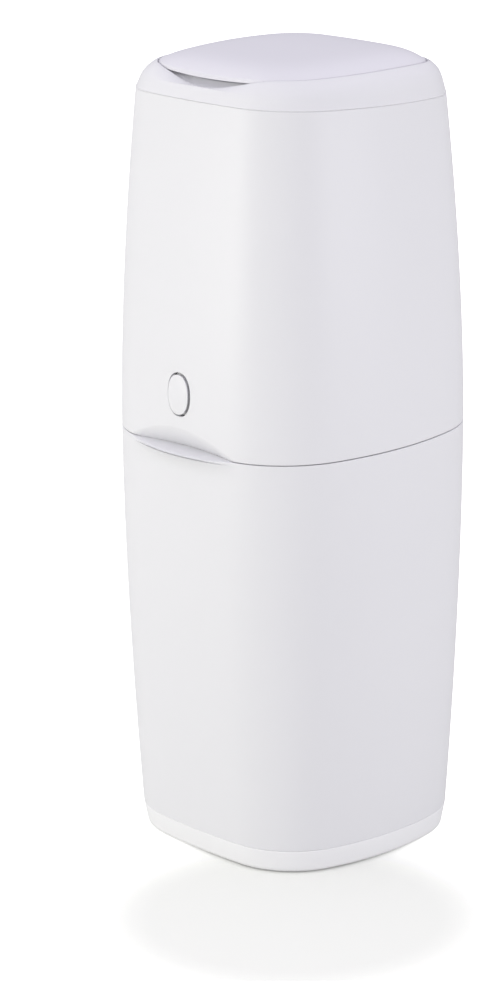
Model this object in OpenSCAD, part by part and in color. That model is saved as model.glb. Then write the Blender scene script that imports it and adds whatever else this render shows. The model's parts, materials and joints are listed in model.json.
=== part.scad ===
// Nappy bin: barrel-shaped two-part pail with a hinged lid, a cassette well,
// a pair of sprung clamp jaws and a press-button latch. Millimetres, +Z up,
// origin on the floor under the middle of the body, front towards -Y.

/* [Body outline] */
// Width at the middle seam
body_w = 234; // [224:1:246]
// Depth at the middle seam, without lip and hinge
body_d = 224; // [214:1:236]
// Plan radius of the front and back faces
front_r = 540; // [420:10:700]
// Plan radius of the two side faces
side_r = 220; // [190:5:260]
// Plan radius of the vertical corners
corner_r = 72; // [64:1:78]
// Wall thickness of the outer mouldings
wall = 3; // [2.4:0.1:3.6]

/* [Heights and seams] */
// Height of the seam between plinth and lower shell
base_z = 18.4; // [16:0.2:24]
// Height of the middle seam on the body axis
mid_z = 318; // [300:1:335]
// Rise of the middle seam per millimetre towards the back
mid_slope = 0.024; // [0:0.002:0.04]
// Height of the top seam on the body axis
top_z = 566; // [556:1:580]
// Rise of the top seam per millimetre towards the back
top_slope = -0.027; // [-0.04:0.001:0]
// Width of the parting groove
seam_gap = 0.6; // [0.4:0.1:1]
// Chamfer on each side of a parting groove
seam_bevel = 0.7; // [0.4:0.1:1]

/* [Barrel taper] */
// Inset of the outline at the top seam
taper_top = 14.2; // [8:0.2:16]
// Inset of the outline at the plinth seam
taper_base = 11.8; // [8:0.2:14]
// Further inset of the plinth at the floor
taper_plinth = 3.5; // [1:0.1:6]
// Power of the barrel curve
taper_power = 1.78; // [1.5:0.02:2.2]

/* [Finger grip at the middle seam] */
// Reach of the lip beyond the front face
lip_reach = 12; // [9:0.2:14]
// Plan radius of the lip
lip_r = 113; // [106:0.5:120]
// Depth of the blend under the lip
lip_h = 16; // [12:1:22]
// Half width of the scoop above the lip
scoop_half = 57; // [48:1:62]
// Depth of the scoop
scoop_d = 11.4; // [7:0.2:12.4]
// Height of the scoop
scoop_h = 14; // [11:1:18]

/* [Crown and lid] */
// Height of the crown edge above the top seam
crown_h = 22; // [20:0.2:26]
// Inset of the lid edge from the widest outline
lid_inset = 31.2; // [30.4:0.2:32.6]
// Gap between lid and crown
lid_gap = 0.8; // [0.6:0.1:1.2]
// Thickness of the lid
lid_t = 3; // [2.4:0.1:3.4]
// Rise of the lid dome
dome_h = 9.2; // [8:0.2:12]
// Droop of the front edge of the lid at the finger recess
front_drop = 1.6; // [0:0.1:2]
// Stretch of the rear half of the lid, as a share
rear_reach = 0.05; // [0:0.01:0.06]
// Drop of the rear edge of the lid
rear_drop = 2.4; // [1:0.2:3]
// Half width of the finger recess under the lid
recess_half = 68; // [60:1:76]
// Depth of the finger recess at the mouth
recess_d = 11.6; // [10:0.2:13]
// Width of the ledge the lid sits on
ledge_w = 5.1; // [4:0.1:5.6]
// Depth of the liner under the lid
liner_drop = 12; // [10:0.5:13]

/* [Hinges] */
// Radius of the rear hinge knuckles
knuckle_r = 5.7; // [5.2:0.1:6.4]
// Radius of the rear hinge pin
pin_r = 2.2; // [1.8:0.1:2.6]
// Length of the rear hinge pin
pin_l = 88; // [80:2:92]
// Length of the middle knuckle
knuckle_l = 36; // [30:1:42]
// Thickness of the hinge leaves
leaf_t = 2.6; // [2.2:0.1:3]
// Height of the hinge leaves
leaf_h = 26; // [23:1:32]
// Half width of the lid hinge barrel
lid_barrel_half = 34; // [26:1:36]
// Radius of the lid hinge barrel
lid_barrel_r = 3; // [2.6:0.1:3.2]
// Radius of the lid hinge pins
lid_pin_r = 1.6; // [1.4:0.1:1.8]
// Radial running clearance of the pins
run = 0.06; // [0.03:0.01:0.1]
// Gap between parts that move past each other
slip = 0.5; // [0.4:0.05:0.6]
// Gap between a fixed part and its seat
seat = 0.2; // [0.1:0.05:0.3]

/* [Release button] */
// Width of the button
button_w = 21.2; // [19:0.2:24]
// Height of the button
button_h = 29.4; // [27:0.2:33]
// Height of the button centre above the middle seam
button_up = 38; // [34:1:44]
// Gap around the button
button_gap = 0.6; // [0.4:0.1:0.9]
// Rise of the button face above the wall
button_rise = 1.7; // [1:0.1:2.2]
// Distance of the latch hook from its keeper
hook_clear = 1.6; // [1.4:0.1:2]

/* [Cassette and deck] */
// Width across the flats of the cassette
cassette_w = 144; // [138:1:145]
// Height of the cassette
cassette_h = 57; // [50:1:60]
// Radius of the hole that the nappies go through
hole_r = 46; // [42:1:48]
// Clearance around the cassette
cassette_gap = 1; // [0.6:0.1:1.2]
// Thickness of the deck and its well
deck_t = 3; // [2.4:0.1:3.4]
// Inset of the shell flange that carries the deck
flange_inset = 30; // [28:0.5:32]

/* [Clamp] */
// Inset of the clamp frame from the widest outline
frame_in = 19; // [17:0.5:22]
// Depth of the clamp frame
frame_d = 112; // [108:1:114]
// Height of the clamp frame
frame_h = 18; // [16:0.5:20]
// Stroke of each jaw
jaw_stroke = 30; // [24:1:32]

/* [Hidden] */
$fn = 48;

white = [0.93, 0.93, 0.94];
lid_white = [0.86, 0.85, 0.9];
grey = [0.55, 0.57, 0.6];
dark_blue = [0.13, 0.16, 0.36];
steel = [0.72, 0.73, 0.75];
rubber = [0.2, 0.2, 0.21];

// Plan outline: eight tangent arcs, mirrored in both axes.
side_x = side_r - body_w / 2;
front_y = front_r - body_d / 2;
function meet(x0, y0, r0, x1, y1, r1) =
  let(dx = x1 - x0, dy = y1 - y0, d = sqrt(dx * dx + dy * dy),
      a = (r0 * r0 - r1 * r1 + d * d) / (2 * d), h = sqrt(r0 * r0 - a * a))
  [x0 + (a * dx + h * dy) / d, y0 + (a * dy - h * dx) / d];
corner = meet(-side_x, 0, side_r - corner_r, 0, front_y, front_r - corner_r);
side_a = atan2(-corner[1], corner[0] + side_x);
front_a = atan2(corner[0], front_y - corner[1]);
side_n = 6;
corner_n = 8;
back_n = 4;
front_n = 12;
function arc(cx, cy, r, a0, a1, n) =
  [for (i = [0 : n - 1]) let(a = a0 + (a1 - a0) * i / n) [cx + r * cos(a), cy + r * sin(a)]];
function outline(d) = concat(
  arc(-side_x, 0, side_r - d, -side_a, side_a, side_n),
  arc(corner[0], -corner[1], corner_r - d, side_a, 90 - front_a, corner_n),
  arc(0, -front_y, front_r - d, 90 - front_a, 90 + front_a, back_n),
  arc(-corner[0], -corner[1], corner_r - d, 90 + front_a, 180 - side_a, corner_n),
  arc(side_x, 0, side_r - d, 180 - side_a, 180 + side_a, side_n),
  arc(-corner[0], corner[1], corner_r - d, 180 + side_a, 270 - front_a, corner_n),
  arc(0, front_y, front_r - d, 270 - front_a, 270 + front_a, front_n),
  arc(corner[0], corner[1], corner_r - d, 270 + front_a, 360 - side_a, corner_n));

// Inset of the barrel at a height, and the tilt of the sections between the seams.
function inset(z) =
  z > mid_z ? taper_top * pow((z - mid_z) / (top_z - mid_z), taper_power)
  : z > base_z ? taper_base * pow((mid_z - z) / (mid_z - base_z), taper_power)
  : taper_base + taper_plinth * (base_z - z) / base_z;
function tilt(z) =
  z > top_z ? top_slope * max(0, 1 - (z - top_z) / (0.7 * crown_h))
  : z > mid_z ? mid_slope + (top_slope - mid_slope) * (z - mid_z) / (top_z - mid_z)
  : mid_slope * max(0, (z - base_z) / (mid_z - base_z));

// One section: height, inset, tilt, and functions that push the front in or raise it.
none = function (x) 0;
function section(z, d, s, push = none, lift = none) =
  [for (p = outline(d)) let(q = p[1] < 0 ? 1 : 0)
    [p[0], p[1] + q * push(p[0]), z + s * p[1] + q * lift(p[0])]];
function skin(z, d = 0, push = none, lift = none) =
  section(z, inset(z) + d, tilt(z), push, lift);

// Closed skin through a list of sections, joined end to end or capped.
function band(k, w, wrap) =
  [for (j = [0 : wrap ? k - 1 : k - 2]) for (i = [0 : w - 1])
    let(m = (j + 1) % k, n = (i + 1) % w, a = j * w + i, b = j * w + n, c = m * w + n, d = m * w + i)
    each [[a, c, b], [a, d, c]]];
module loft_ring(s) polyhedron(points = [for (r = s) each r], faces = band(len(s), len(s[0]), true));
module loft_solid(s) polyhedron(points = [for (r = s) each r],
  faces = concat(band(len(s), len(s[0]), false), [[for (i = [0 : len(s[0]) - 1]) i]],
    [[for (i = [len(s[0]) - 1 : -1 : 0]) (len(s) - 1) * len(s[0]) + i]]));

module along_x(l) rotate([90, 0, 90]) linear_extrude(l, center = true) children();
module along_y(l) rotate([90, 0, 0]) linear_extrude(l, center = true) children();
module rod_x(r, l, y, z) translate([0, y, z]) rotate([0, 90, 0]) cylinder(r = r, h = l, center = true);
module rod_y(r, y0, y1, z) translate([0, y1, z]) rotate([90, 0, 0]) cylinder(r = r, h = y1 - y0);
module block(x0, x1, y0, y1, z0, z1) translate([x0, y0, z0]) cube([x1 - x0, y1 - y0, z1 - z0]);
module octagon(w, h) frustum(w, w, h);
module frustum(w0, w1, h) rotate([0, 0, 22.5])
  cylinder(r1 = w0 / 2 / cos(22.5), r2 = w1 / 2 / cos(22.5), h = h, $fn = 8);
module four(x, y) for (sx = [-1, 1], sy = [-1, 1]) translate([sx * x, sy * y, 0]) children();
module plate(w, d, c, h) linear_extrude(h) polygon([[c - w / 2, -d / 2], [w / 2 - c, -d / 2],
  [w / 2, c - d / 2], [w / 2, d / 2 - c], [w / 2 - c, d / 2], [c - w / 2, d / 2], [-w / 2, d / 2 - c],
  [-w / 2, c - d / 2]]);
module corner_spots(r) four(corner[0] + r * cos(45), -corner[1] + r * sin(45)) children();

// Front features, as functions of the distance from the middle.
front_sag = function (x) front_r - sqrt(front_r * front_r - x * x);
lip_c = body_d / 2 + lip_reach - lip_r;
lip_out = function (x) abs(x) < lip_r
  ? max(0, lip_c + sqrt(lip_r * lip_r - x * x) - body_d / 2 + front_sag(x)) : 0;
function lip_fade(h) = pow(max(0, 1 - h / lip_h), 1.6);
function scoop_in(x, h) = scoop_d * max(0, 1 - pow(x / scoop_half, 2) - h / scoop_h);
recess = function (x) abs(x) < recess_half ? pow(cos(90 * x / recess_half), 2) : 0;

// Lower half of the body: a bucket with a lip, closed at the bottom.
floor_z = base_z + 5.6;
floor_t = wall;
rim_z = mid_z - seam_gap / 2;
shelf_d = scoop_d + wall + 1;
shelf_h = 12;
keeper_w = 26;
screw_r = 1.6;
pilot_r = 1.4;
head_r = 3.2;
head_t = 2.4;
plinth_screw_in = 14;
hinge_y = body_d / 2 + knuckle_r + slip + 0.1;
hinge_z = mid_z + mid_slope * hinge_y;
module lower_loft() {
  rim = [for (h = [lip_h, 0.6 * lip_h, 0.32 * lip_h, seam_bevel + 1.4])
    skin(rim_z - h, 0, function (x) -lip_out(x) * lip_fade(h - seam_bevel - 1.4))];
  shelf = function (x) max(0, (shelf_d - wall) * (1 - pow(x / scoop_half, 2)));
  loft_solid(concat(
    [skin(base_z, seam_bevel), skin(base_z + seam_bevel)],
    [for (i = [1 : 4]) skin(base_z + (rim_z - lip_h - base_z) * i / 5)],
    rim,
    [skin(rim_z - seam_bevel, 0, function (x) -lip_out(x)),
     skin(rim_z, seam_bevel, function (x) -lip_out(x)),
     skin(rim_z, wall, shelf),
     skin(rim_z - 0.6 * shelf_h, wall, shelf),
     skin(rim_z - 1.6 * shelf_h, wall)],
    [for (i = [3 : -1 : 1]) skin(floor_z + (rim_z - 1.6 * shelf_h - floor_z) * i / 4, wall)],
    [section(floor_z + floor_t, inset(floor_z) + wall, 0)]));
}

// Leaf of the rear hinge: a plate that follows the wall, knuckles and screw bosses.
leaf_screw_x = pin_l / 2 - 12;
leaf_screw_z = 16;
boss_r = 4.6;
boss_t = 3.4;
boss_y = body_d / 2 + leaf_t + boss_t;
function rear(r, x) = sqrt(r * r - x * x) - front_y;
module knuckle(up, x0, x1) translate([(x0 + x1) / 2, 0, 0]) {
  rod_x(knuckle_r, x1 - x0, hinge_y, hinge_z);
  rotate([90, 0, 90]) linear_extrude(x1 - x0, center = true) polygon([
    [body_d / 2 + leaf_t - 1, hinge_z + up * slip], [hinge_y, hinge_z],
    [hinge_y + 0.98 * knuckle_r, hinge_z + up * 0.2 * knuckle_r],
    [body_d / 2 + leaf_t - 0.4, hinge_z + up * 0.6 * leaf_h],
    [body_d / 2 + leaf_t - 1, hinge_z + up * 0.6 * leaf_h]]);
}
module hinge_leaf(up) difference() {
  union() {
    difference() {
      translate([0, 0, hinge_z + (up > 0 ? slip : -leaf_h)]) linear_extrude(leaf_h - slip) polygon(concat(
        [for (i = [-4 : 4]) let(x = i * pin_l / 8) [x, rear(front_r + run, x)]],
        [for (i = [4 : -1 : -4]) let(x = i * pin_l / 8) [x, rear(front_r + leaf_t, x)]]));
      if (up > 0) for (m = [-1, 1]) translate([m * pin_l / 2, 0, 0])
        rod_x(knuckle_r + slip, pin_l - knuckle_l, hinge_y, hinge_z);
      else rod_x(knuckle_r + slip, knuckle_l + 2 * slip, hinge_y, hinge_z);
    }
    if (up > 0) knuckle(up, -knuckle_l / 2, knuckle_l / 2);
    else {
      knuckle(up, knuckle_l / 2 + slip, pin_l / 2);
      knuckle(up, -pin_l / 2, -knuckle_l / 2 - slip);
    }
    for (m = [-1, 1]) translate([m * leaf_screw_x, 0, 0])
      rod_y(boss_r, rear(front_r + run, leaf_screw_x - boss_r) + run, boss_y, hinge_z + up * leaf_screw_z);
  }
  rod_x(pin_r + (up > 0 ? run : 0), pin_l + 2, hinge_y, hinge_z);
  for (m = [-1, 1]) translate([m * leaf_screw_x, 0, 0])
    rod_y(pilot_r, body_d / 2 - 8, boss_y - 1, hinge_z + up * leaf_screw_z);
}
module leaf_screw_holes(up) for (m = [-1, 1]) translate([m * leaf_screw_x, 0, 0])
  rod_y(screw_r + 0.3, body_d / 2 - 12, body_d / 2 + 4, hinge_z + up * leaf_screw_z);
leaf_head_y = rear(front_r - wall, leaf_screw_x + head_r) - seat - 0.1;
module leaf_screws(up) for (m = [-1, 1])
  translate([m * leaf_screw_x, leaf_head_y, hinge_z + up * leaf_screw_z])
    rotate([-90, 0, 0]) screw(wall + leaf_t + boss_t - 1);
module hinge_leaf_lower() color(white) hinge_leaf(-1);
module hinge_leaf_upper() color(white) hinge_leaf(1);
module leaf_screws_lower() color(steel) leaf_screws(-1);
module leaf_screws_upper() color(steel) leaf_screws(1);

module lower_shell() color(white) difference() {
  lower_loft();
  leaf_screw_holes(-1);
  // Hollow under the floor, with four bosses left for the screws of the plinth
  difference() {
    translate([0, 0, base_z - 1]) linear_extrude(floor_z - base_z + 1)
      offset(delta = -4) polygon(outline(taper_base + wall));
    corner_spots(plinth_screw_in) cylinder(r = 5, h = 60);
  }
  corner_spots(plinth_screw_in) translate([0, 0, base_z - 1])
    cylinder(r = pilot_r, h = floor_z - base_z + 2.5);
  for (s = [-1, 1]) translate([s * 8, 0, 0]) rod_y(pilot_r, shelf_y - 6, shelf_y + 1, keeper_z);
}
shelf_y = -body_d / 2 + shelf_d;
keeper_z = rim_z - mid_slope * body_d / 2 - 5;

module base_plinth() color(white) difference() {
  union() {
    loft_ring([skin(0.8, wall), skin(0.8, 0.4), skin(1.6), skin(base_z - seam_bevel),
      skin(base_z, seam_bevel),
      skin(base_z, wall + 1), skin(base_z - wall, wall + 1), skin(base_z - wall, wall)]);
    plinth_plate();
  }
  corner_spots(plinth_screw_in) cylinder(r = screw_r + 0.3, h = 60);
}
foot_r = 9;
foot_t = 3;
foot_in = 21;
foot_at = corner_r - taper_base - foot_in;
module plinth_plate() {
  translate([0, 0, base_z - wall]) linear_extrude(wall) polygon(outline(taper_base + wall));
  corner_spots(foot_at) translate([0, 0, foot_t]) cylinder(r = foot_r + 1, h = base_z - wall - foot_t + 0.5);
}
module rubber_feet() color(rubber) corner_spots(foot_at) cylinder(r = foot_r, h = foot_t);
module screw(l) {
  translate([0, 0, -head_t]) cylinder(r = head_r, h = head_t);
  cylinder(r = screw_r, h = l);
}
module plinth_screws() color(steel) corner_spots(plinth_screw_in)
  translate([0, 0, base_z - wall]) screw(wall + 6);

// Strike of the latch, screwed to the shelf behind the lip.
keeper_t = 2;
keeper_y = shelf_y + seat;
module keeper_screw(g) for (s = [-1, 1]) translate([s * 8, keeper_y + keeper_t, keeper_z])
  rotate([90, 0, 0]) union() {
    translate([0, 0, -g]) cylinder(r1 = head_r - 0.4 + 2 * g, r2 = screw_r + g, h = 1.4 + g);
    cylinder(r = screw_r + g, h = 8);
  }
module latch_keeper() color(grey) difference() {
  block(-keeper_w / 2, keeper_w / 2, keeper_y, keeper_y + keeper_t, keeper_z - 5, keeper_z + 4);
  keeper_screw(0.1);
}
module keeper_screws() color(steel) keeper_screw(0);
module bucket_hinge_pin() color(steel) rod_x(pin_r, pin_l, hinge_y, hinge_z);

// Upper half of the body: a sleeve with a scoop, and a flange that carries the deck.
sill_z = mid_z + seam_gap / 2;
flange_z = top_z - 10;
module upper_loft() {
  bottom = [for (h = [0, seam_bevel, 0.36 * scoop_h, 0.7 * scoop_h, scoop_h])
    skin(sill_z + h, h == 0 ? seam_bevel : 0, function (x) scoop_in(x, h))];
  inner = [for (h = [scoop_h, 0.5 * scoop_h, 0])
    skin(sill_z + h, wall, function (x) scoop_in(x, h))];
  side = [for (i = [1 : 4]) sill_z + scoop_h + (top_z - sill_z - scoop_h) * i / 5];
  loft_ring(concat(bottom, [for (z = side) skin(z)],
    [skin(top_z - seam_bevel), skin(top_z, seam_bevel), skin(top_z, wall),
     section(flange_z, inset(flange_z) + wall, 0), section(flange_z, flange_inset, 0),
     section(flange_z - wall, flange_inset, 0), section(flange_z - wall, inset(flange_z) + wall, 0)],
    [for (i = [3 : -1 : 1]) skin(side[i - 1], wall)], inner));
}
button_z = mid_z + button_up;
front_in = -body_d / 2 + wall + inset(button_z);
deck_screw_r = corner_r - (flange_inset + inset(flange_z) + wall) / 2;
// Oval of the button, as points on the wall: n is the growth of the oval, k its share,
// out the height above the wall.
oval_n = 40;
oval_power = 0.88;
function round_off(c) = sign(c) * pow(abs(c), oval_power);
function oval(n, k = 1) = [for (i = [0 : oval_n - 1]) let(a = 360 * i / oval_n)
  [k * (button_w / 2 + n) * round_off(cos(a)), k * (button_h / 2 + n) * round_off(sin(a))]];
function on_wall(n, k, out) = [for (p = oval(n, k))
  [p[0], -body_d / 2 + inset(button_z + p[1]) + front_sag(p[0]) - out, button_z + p[1]]];
function oval_at(n, y) = [for (p = oval(n)) [p[0], y, button_z + p[1]]];
module upper_shell() color(white) difference() {
  upper_loft();
  leaf_screw_holes(1);
  loft_solid([oval_at(button_gap, front_in + 2), oval_at(button_gap, -body_d / 2 - 2)]);
  loft_solid([on_wall(button_gap, 1, -1), on_wall(button_gap + 1.2, 1, 0.6)]);
  corner_spots(deck_screw_r) translate([0, 0, flange_z - 10]) cylinder(r = screw_r + 0.3, h = 20);
}

// Crown: shoulder, ledge for the lid and collar down to the deck.
edge_z = top_z + crown_h;
edge_drop = 0.4;
dome_power = 6.4;
dome_tilt = 0.011;
dome_skew = 0.22;
deck_z = flange_z + deck_t;
dome_z = edge_z - edge_drop;
ledge_z = dome_z - lid_t - seat;
mouth_inset = lid_inset - lid_gap + ledge_w;
collar_t = 2.5;
mouth_w = body_w - 2 * mouth_inset;
// Shoulder curve: share of the crown height against share of the way in to the lid.
shoulder = [[0, 0], [0.1, 0.05], [0.26, 0.13], [0.42, 0.21], [0.58, 0.32], [0.74, 0.48], [0.88, 0.7],
  [0.97, 0.88], [1, 1]];
crown_in = lid_inset - lid_gap;
function shoulder_d(t) = inset(top_z) + (crown_in - inset(top_z)) * t;
function fall(t) = t < 0.3 ? 0 : recess_d * pow((t - 0.3) / 0.7, 0.8);
// Height of the lid edge over its length, and a ring of the crown: k is the share of
// the way in to the lid, w the share of that height, drop the depth of the recess.
// At the rear the crown stands back a little further, so that the lid edge can turn.
rear_k = 1.1;
lid_half = body_d / 2 - lid_inset;
function rim(y) = dome_tilt * y - rear_drop * pow(max(0, y) / lid_half, 2);
function rear_y(y, k) = y > 0 ? y * (1 + k * rear_reach) : y;
function crown_ring(z, d, s, k, w, drop = 0) = [for (p = outline(d)) let(y = rear_y(p[1], k))
  [p[0], y, z + s * p[1] + w * rim(y) - (y < 0 ? drop * recess(p[0]) : 0)]];
module crown_loft() loft_ring(concat(
  [section(top_z, shoulder_d(0) + seam_bevel, top_slope),
   section(top_z + seam_bevel, shoulder_d(0), top_slope)],
  [for (i = [1 : len(shoulder) - 1]) let(p = shoulder[i], z = top_z + crown_h * p[0])
    crown_ring(z, shoulder_d(p[1]), tilt(z), p[1] * rear_k, p[1], fall(p[1]))],
  [crown_ring(ledge_z, crown_in, 0, rear_k, 1, recess_d * 0.86),
   crown_ring(ledge_z, mouth_inset, 0, rear_k, 1, front_drop + 1),
   crown_ring(deck_z, mouth_inset, 0, rear_k, 0),
   crown_ring(deck_z, mouth_inset - collar_t, 0, rear_k, 0),
   crown_ring(ledge_z - wall, mouth_inset - collar_t, 0, rear_k, 1, recess_d * 0.86),
   crown_ring(ledge_z - wall, crown_in - wall, 0, rear_k, 1, recess_d * 0.8)],
  [for (i = [6, 4, 2]) let(p = shoulder[i], z = top_z + crown_h * p[0])
    crown_ring(z - 1.6, shoulder_d(p[1]) + wall - 0.6, tilt(z), p[1] * rear_k, p[1], fall(p[1]))],
  [section(top_z, shoulder_d(0) + wall, top_slope)]));
lid_back = rear_y(lid_half, 1);
lid_hinge_y = lid_back + lid_barrel_r + 0.6;
lid_hinge_z = edge_z + rim(lid_back) - lid_barrel_r - 0.4;
lug_l = 6;
lug_x = lid_barrel_half + slip;
lid_slot = lug_x + lug_l + 5;
lug_z = lid_hinge_z - lid_barrel_r - 0.7;
relief_r = 2;
relief_at = corner_r - lid_inset + 0.6;
module crown() color(white) difference() {
  union() {
    difference() {
      union() {
        crown_loft();
        corner_spots(deck_screw_r) translate([0, 0, deck_z]) cylinder(r = 5, h = 17);
        block(-lid_slot - 3, lid_slot + 3, lid_hinge_y - 7, lid_hinge_y + 3.4, ledge_z - 13, ledge_z - 4.5);
      }
      block(-lid_slot, lid_slot, lid_hinge_y - 6.2, lid_hinge_y + 9, lug_z, edge_z + 10);
      // Reliefs beside the rear corners of the lid
      for (m = [-1, 1]) translate([m * (corner[0] + relief_at * cos(45)),
        rear_y(-corner[1] + relief_at * sin(45), 1), ledge_z - 2]) cylinder(r = relief_r, h = 20);
    }
    // Lugs that hold the hinge pins
    for (m = [-1, 1]) translate([m * (lug_x + lug_l / 2), 0, 0]) {
      rod_x(lid_barrel_r, lug_l, lid_hinge_y, lid_hinge_z);
      block(-lug_l / 2, lug_l / 2, lid_hinge_y - lid_barrel_r, lid_hinge_y + lid_barrel_r,
        lug_z - 1, lid_hinge_z);
    }
  }
  rod_x(lid_pin_r, 2 * (lug_x + lug_l) + 2, lid_hinge_y, lid_hinge_z);
  corner_spots(deck_screw_r) translate([0, 0, deck_z - 1]) cylinder(r = pilot_r, h = 13);
}
module crown_screws() color(steel) corner_spots(deck_screw_r)
  translate([0, 0, flange_z - wall]) screw(wall + deck_t + 10);

// Deck with the octagonal cassette well and the throat above the clamp.
well_z = deck_z - cassette_h + 1;
well_w = cassette_w + 2 * cassette_gap;
well_flare = 1.6;
throat_r = hole_r + 4;
throat_h = 26;
clamp_z = well_z - deck_t - throat_h;
clamp_screw = [50, frame_d / 2 - 4.5];
frame_w = body_w - 2 * frame_in;
module inner_deck() color(white) difference() {
  union() {
    translate([0, 0, flange_z]) linear_extrude(deck_t) polygon(outline(inset(flange_z) + wall + 0.5));
    translate([0, 0, well_z - deck_t]) octagon(well_w + 2 * deck_t, deck_z - well_z);
    translate([0, 0, clamp_z]) cylinder(r = throat_r + deck_t, h = throat_h + 1);
    four(clamp_screw[0], clamp_screw[1]) translate([0, 0, clamp_z]) cylinder(r = 4.4, h = throat_h + 1);
  }
  translate([0, 0, well_z]) octagon(well_w, cassette_h + 10);
  translate([0, 0, deck_z - well_flare]) frustum(well_w, well_w + 2 * well_flare + 0.2, well_flare + 0.1);
  translate([0, 0, clamp_z - 1]) cylinder(r = throat_r, h = 60);
  four(clamp_screw[0], clamp_screw[1]) translate([0, 0, clamp_z - 1]) cylinder(r = pilot_r, h = 16);
  corner_spots(deck_screw_r) translate([0, 0, flange_z - 1]) cylinder(r = screw_r + 0.3, h = 10);
}

// Cassette: octagonal tub, core tube and ring cap, film packed between them.
tub_h = cassette_h - 12;
tub_t = 1.6;
core_r = hole_r + tub_t;
module cassette_tub() color(grey) translate([0, 0, well_z]) difference() {
  octagon(cassette_w, tub_h);
  translate([0, 0, tub_t]) octagon(cassette_w - 2 * tub_t, tub_h);
  translate([0, 0, -1]) cylinder(r = core_r + 0.1, h = tub_h);
}
module cassette_core() color(grey) translate([0, 0, well_z]) difference() {
  union() {
    cylinder(r = core_r, h = tub_h - 0.1);
    translate([0, 0, tub_t]) cylinder(r = core_r + 2, h = tub_t);
  }
  translate([0, 0, -1]) cylinder(r = hole_r, h = tub_h + 2);
}
module film_pack() color([0.8, 0.82, 0.88]) translate([0, 0, well_z + 2 * tub_t]) difference() {
  cylinder(r = cassette_w / 2 - 4, h = tub_h - 8);
  translate([0, 0, -1]) cylinder(r = core_r + 1, h = tub_h + 2);
}
cap_rim = 8;
cap_r = hole_r + 9;
module cap_plan(d, h) linear_extrude(h) offset(r = cap_rim) rotate([0, 0, 22.5])
  circle(r = (cassette_w / 2 - cap_rim - d) / cos(22.5), $fn = 8);
module cassette_cap() color(dark_blue) translate([0, 0, well_z + tub_h]) difference() {
  union() {
    cap_plan(1.5, 1.5);
    translate([0, 0, 1.5]) cap_plan(0, 6);
    translate([0, 0, 7.5]) cap_plan(1.2, 1.5);
    cylinder(r = cap_r, h = 12);
  }
  translate([0, 0, -1]) cylinder(r = hole_r, h = 20);
  translate([0, 0, 6]) cylinder(r1 = hole_r, r2 = cap_r - 2, h = 6.1);
  // Sunk ring between the rim and the collar, crossed by eight ribs
  translate([0, 0, 5.5]) difference() {
    cylinder(r = cassette_w / 2 - 5, h = 10);
    translate([0, 0, -1]) cylinder(r = cap_r, h = 20);
    for (a = [0 : 45 : 135]) rotate([0, 0, a]) block(-cassette_w, cassette_w, -1.5, 1.5, -1, 2.6);
  }
}

// Clamp: a guide frame with two sprung jaws, closed by a cover.
frame_z = clamp_z - frame_h;
guide_w = frame_w - 6;
guide_d = frame_d - 24;
guide_h = frame_h - 6;
cover_t = 3;
jaw_l = guide_w / 2 - jaw_stroke - 1;
jaw_d = guide_d - 2 * slip;
jaw_h = guide_h - 2 * slip;
jaw_z = frame_z + 3 + slip;
frame_c = 10;
module clamp_frame() color(white) difference() {
  translate([0, 0, frame_z]) plate(frame_w, frame_d, frame_c, frame_h);
  block(-guide_w / 2, guide_w / 2, -guide_d / 2, guide_d / 2, frame_z + 3, clamp_z - 3);
  block(-guide_w / 2, guide_w / 2, -guide_d / 2 + 5, guide_d / 2 - 5, frame_z - 1, frame_z + 4);
  cylinder(r = throat_r, h = 1000);
  four(clamp_screw[0], clamp_screw[1]) translate([0, 0, frame_z - 1])
    cylinder(r = screw_r + 0.3, h = frame_h + 2);
}
module clamp_cover() color(white) translate([0, 0, frame_z - cover_t]) difference() {
  plate(frame_w, frame_d, frame_c, cover_t);
  translate([0, 0, -1]) cylinder(r = throat_r, h = cover_t + 2);
  four(clamp_screw[0], clamp_screw[1]) translate([0, 0, -1]) cylinder(r = screw_r + 0.3, h = cover_t + 2);
}
module clamp_screws() color(steel) four(clamp_screw[0], clamp_screw[1])
  translate([0, 0, frame_z - cover_t]) screw(cover_t + frame_h + 12);
grip_t = 3.4;
nose_x = grip_t + 0.1;
pocket_l = 8;
spring_r = 4;
spring_y = 22;
rib_y = [-29, 0, 29];
module side(m) rotate([0, 0, m > 0 ? 0 : 180]) children();
// Jaw with a sloping nose, hollow below between its ribs, and two spring pockets.
module jaw() difference() {
  along_y(jaw_d) polygon([[nose_x, jaw_z + 0.6], [nose_x + 0.6, jaw_z], [jaw_l - 0.6, jaw_z],
    [jaw_l, jaw_z + 0.6], [jaw_l, jaw_z + jaw_h - 0.6], [jaw_l - 0.6, jaw_z + jaw_h],
    [nose_x + 7, jaw_z + jaw_h], [nose_x, jaw_z + jaw_h - 2.4]]);
  for (y = rib_y) block(nose_x + 4, jaw_l - pocket_l - 4, y - 12, y + 12, jaw_z - 1, jaw_z + jaw_h - 3.6);
  for (y = [-spring_y, spring_y]) translate([jaw_l, 0, 0])
    rod_x(spring_r + 0.4, 2 * pocket_l, y, jaw_z + jaw_h / 2);
}
module jaw_left() color(grey) side(-1) jaw();
module jaw_right() color(grey) side(1) jaw();
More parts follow.
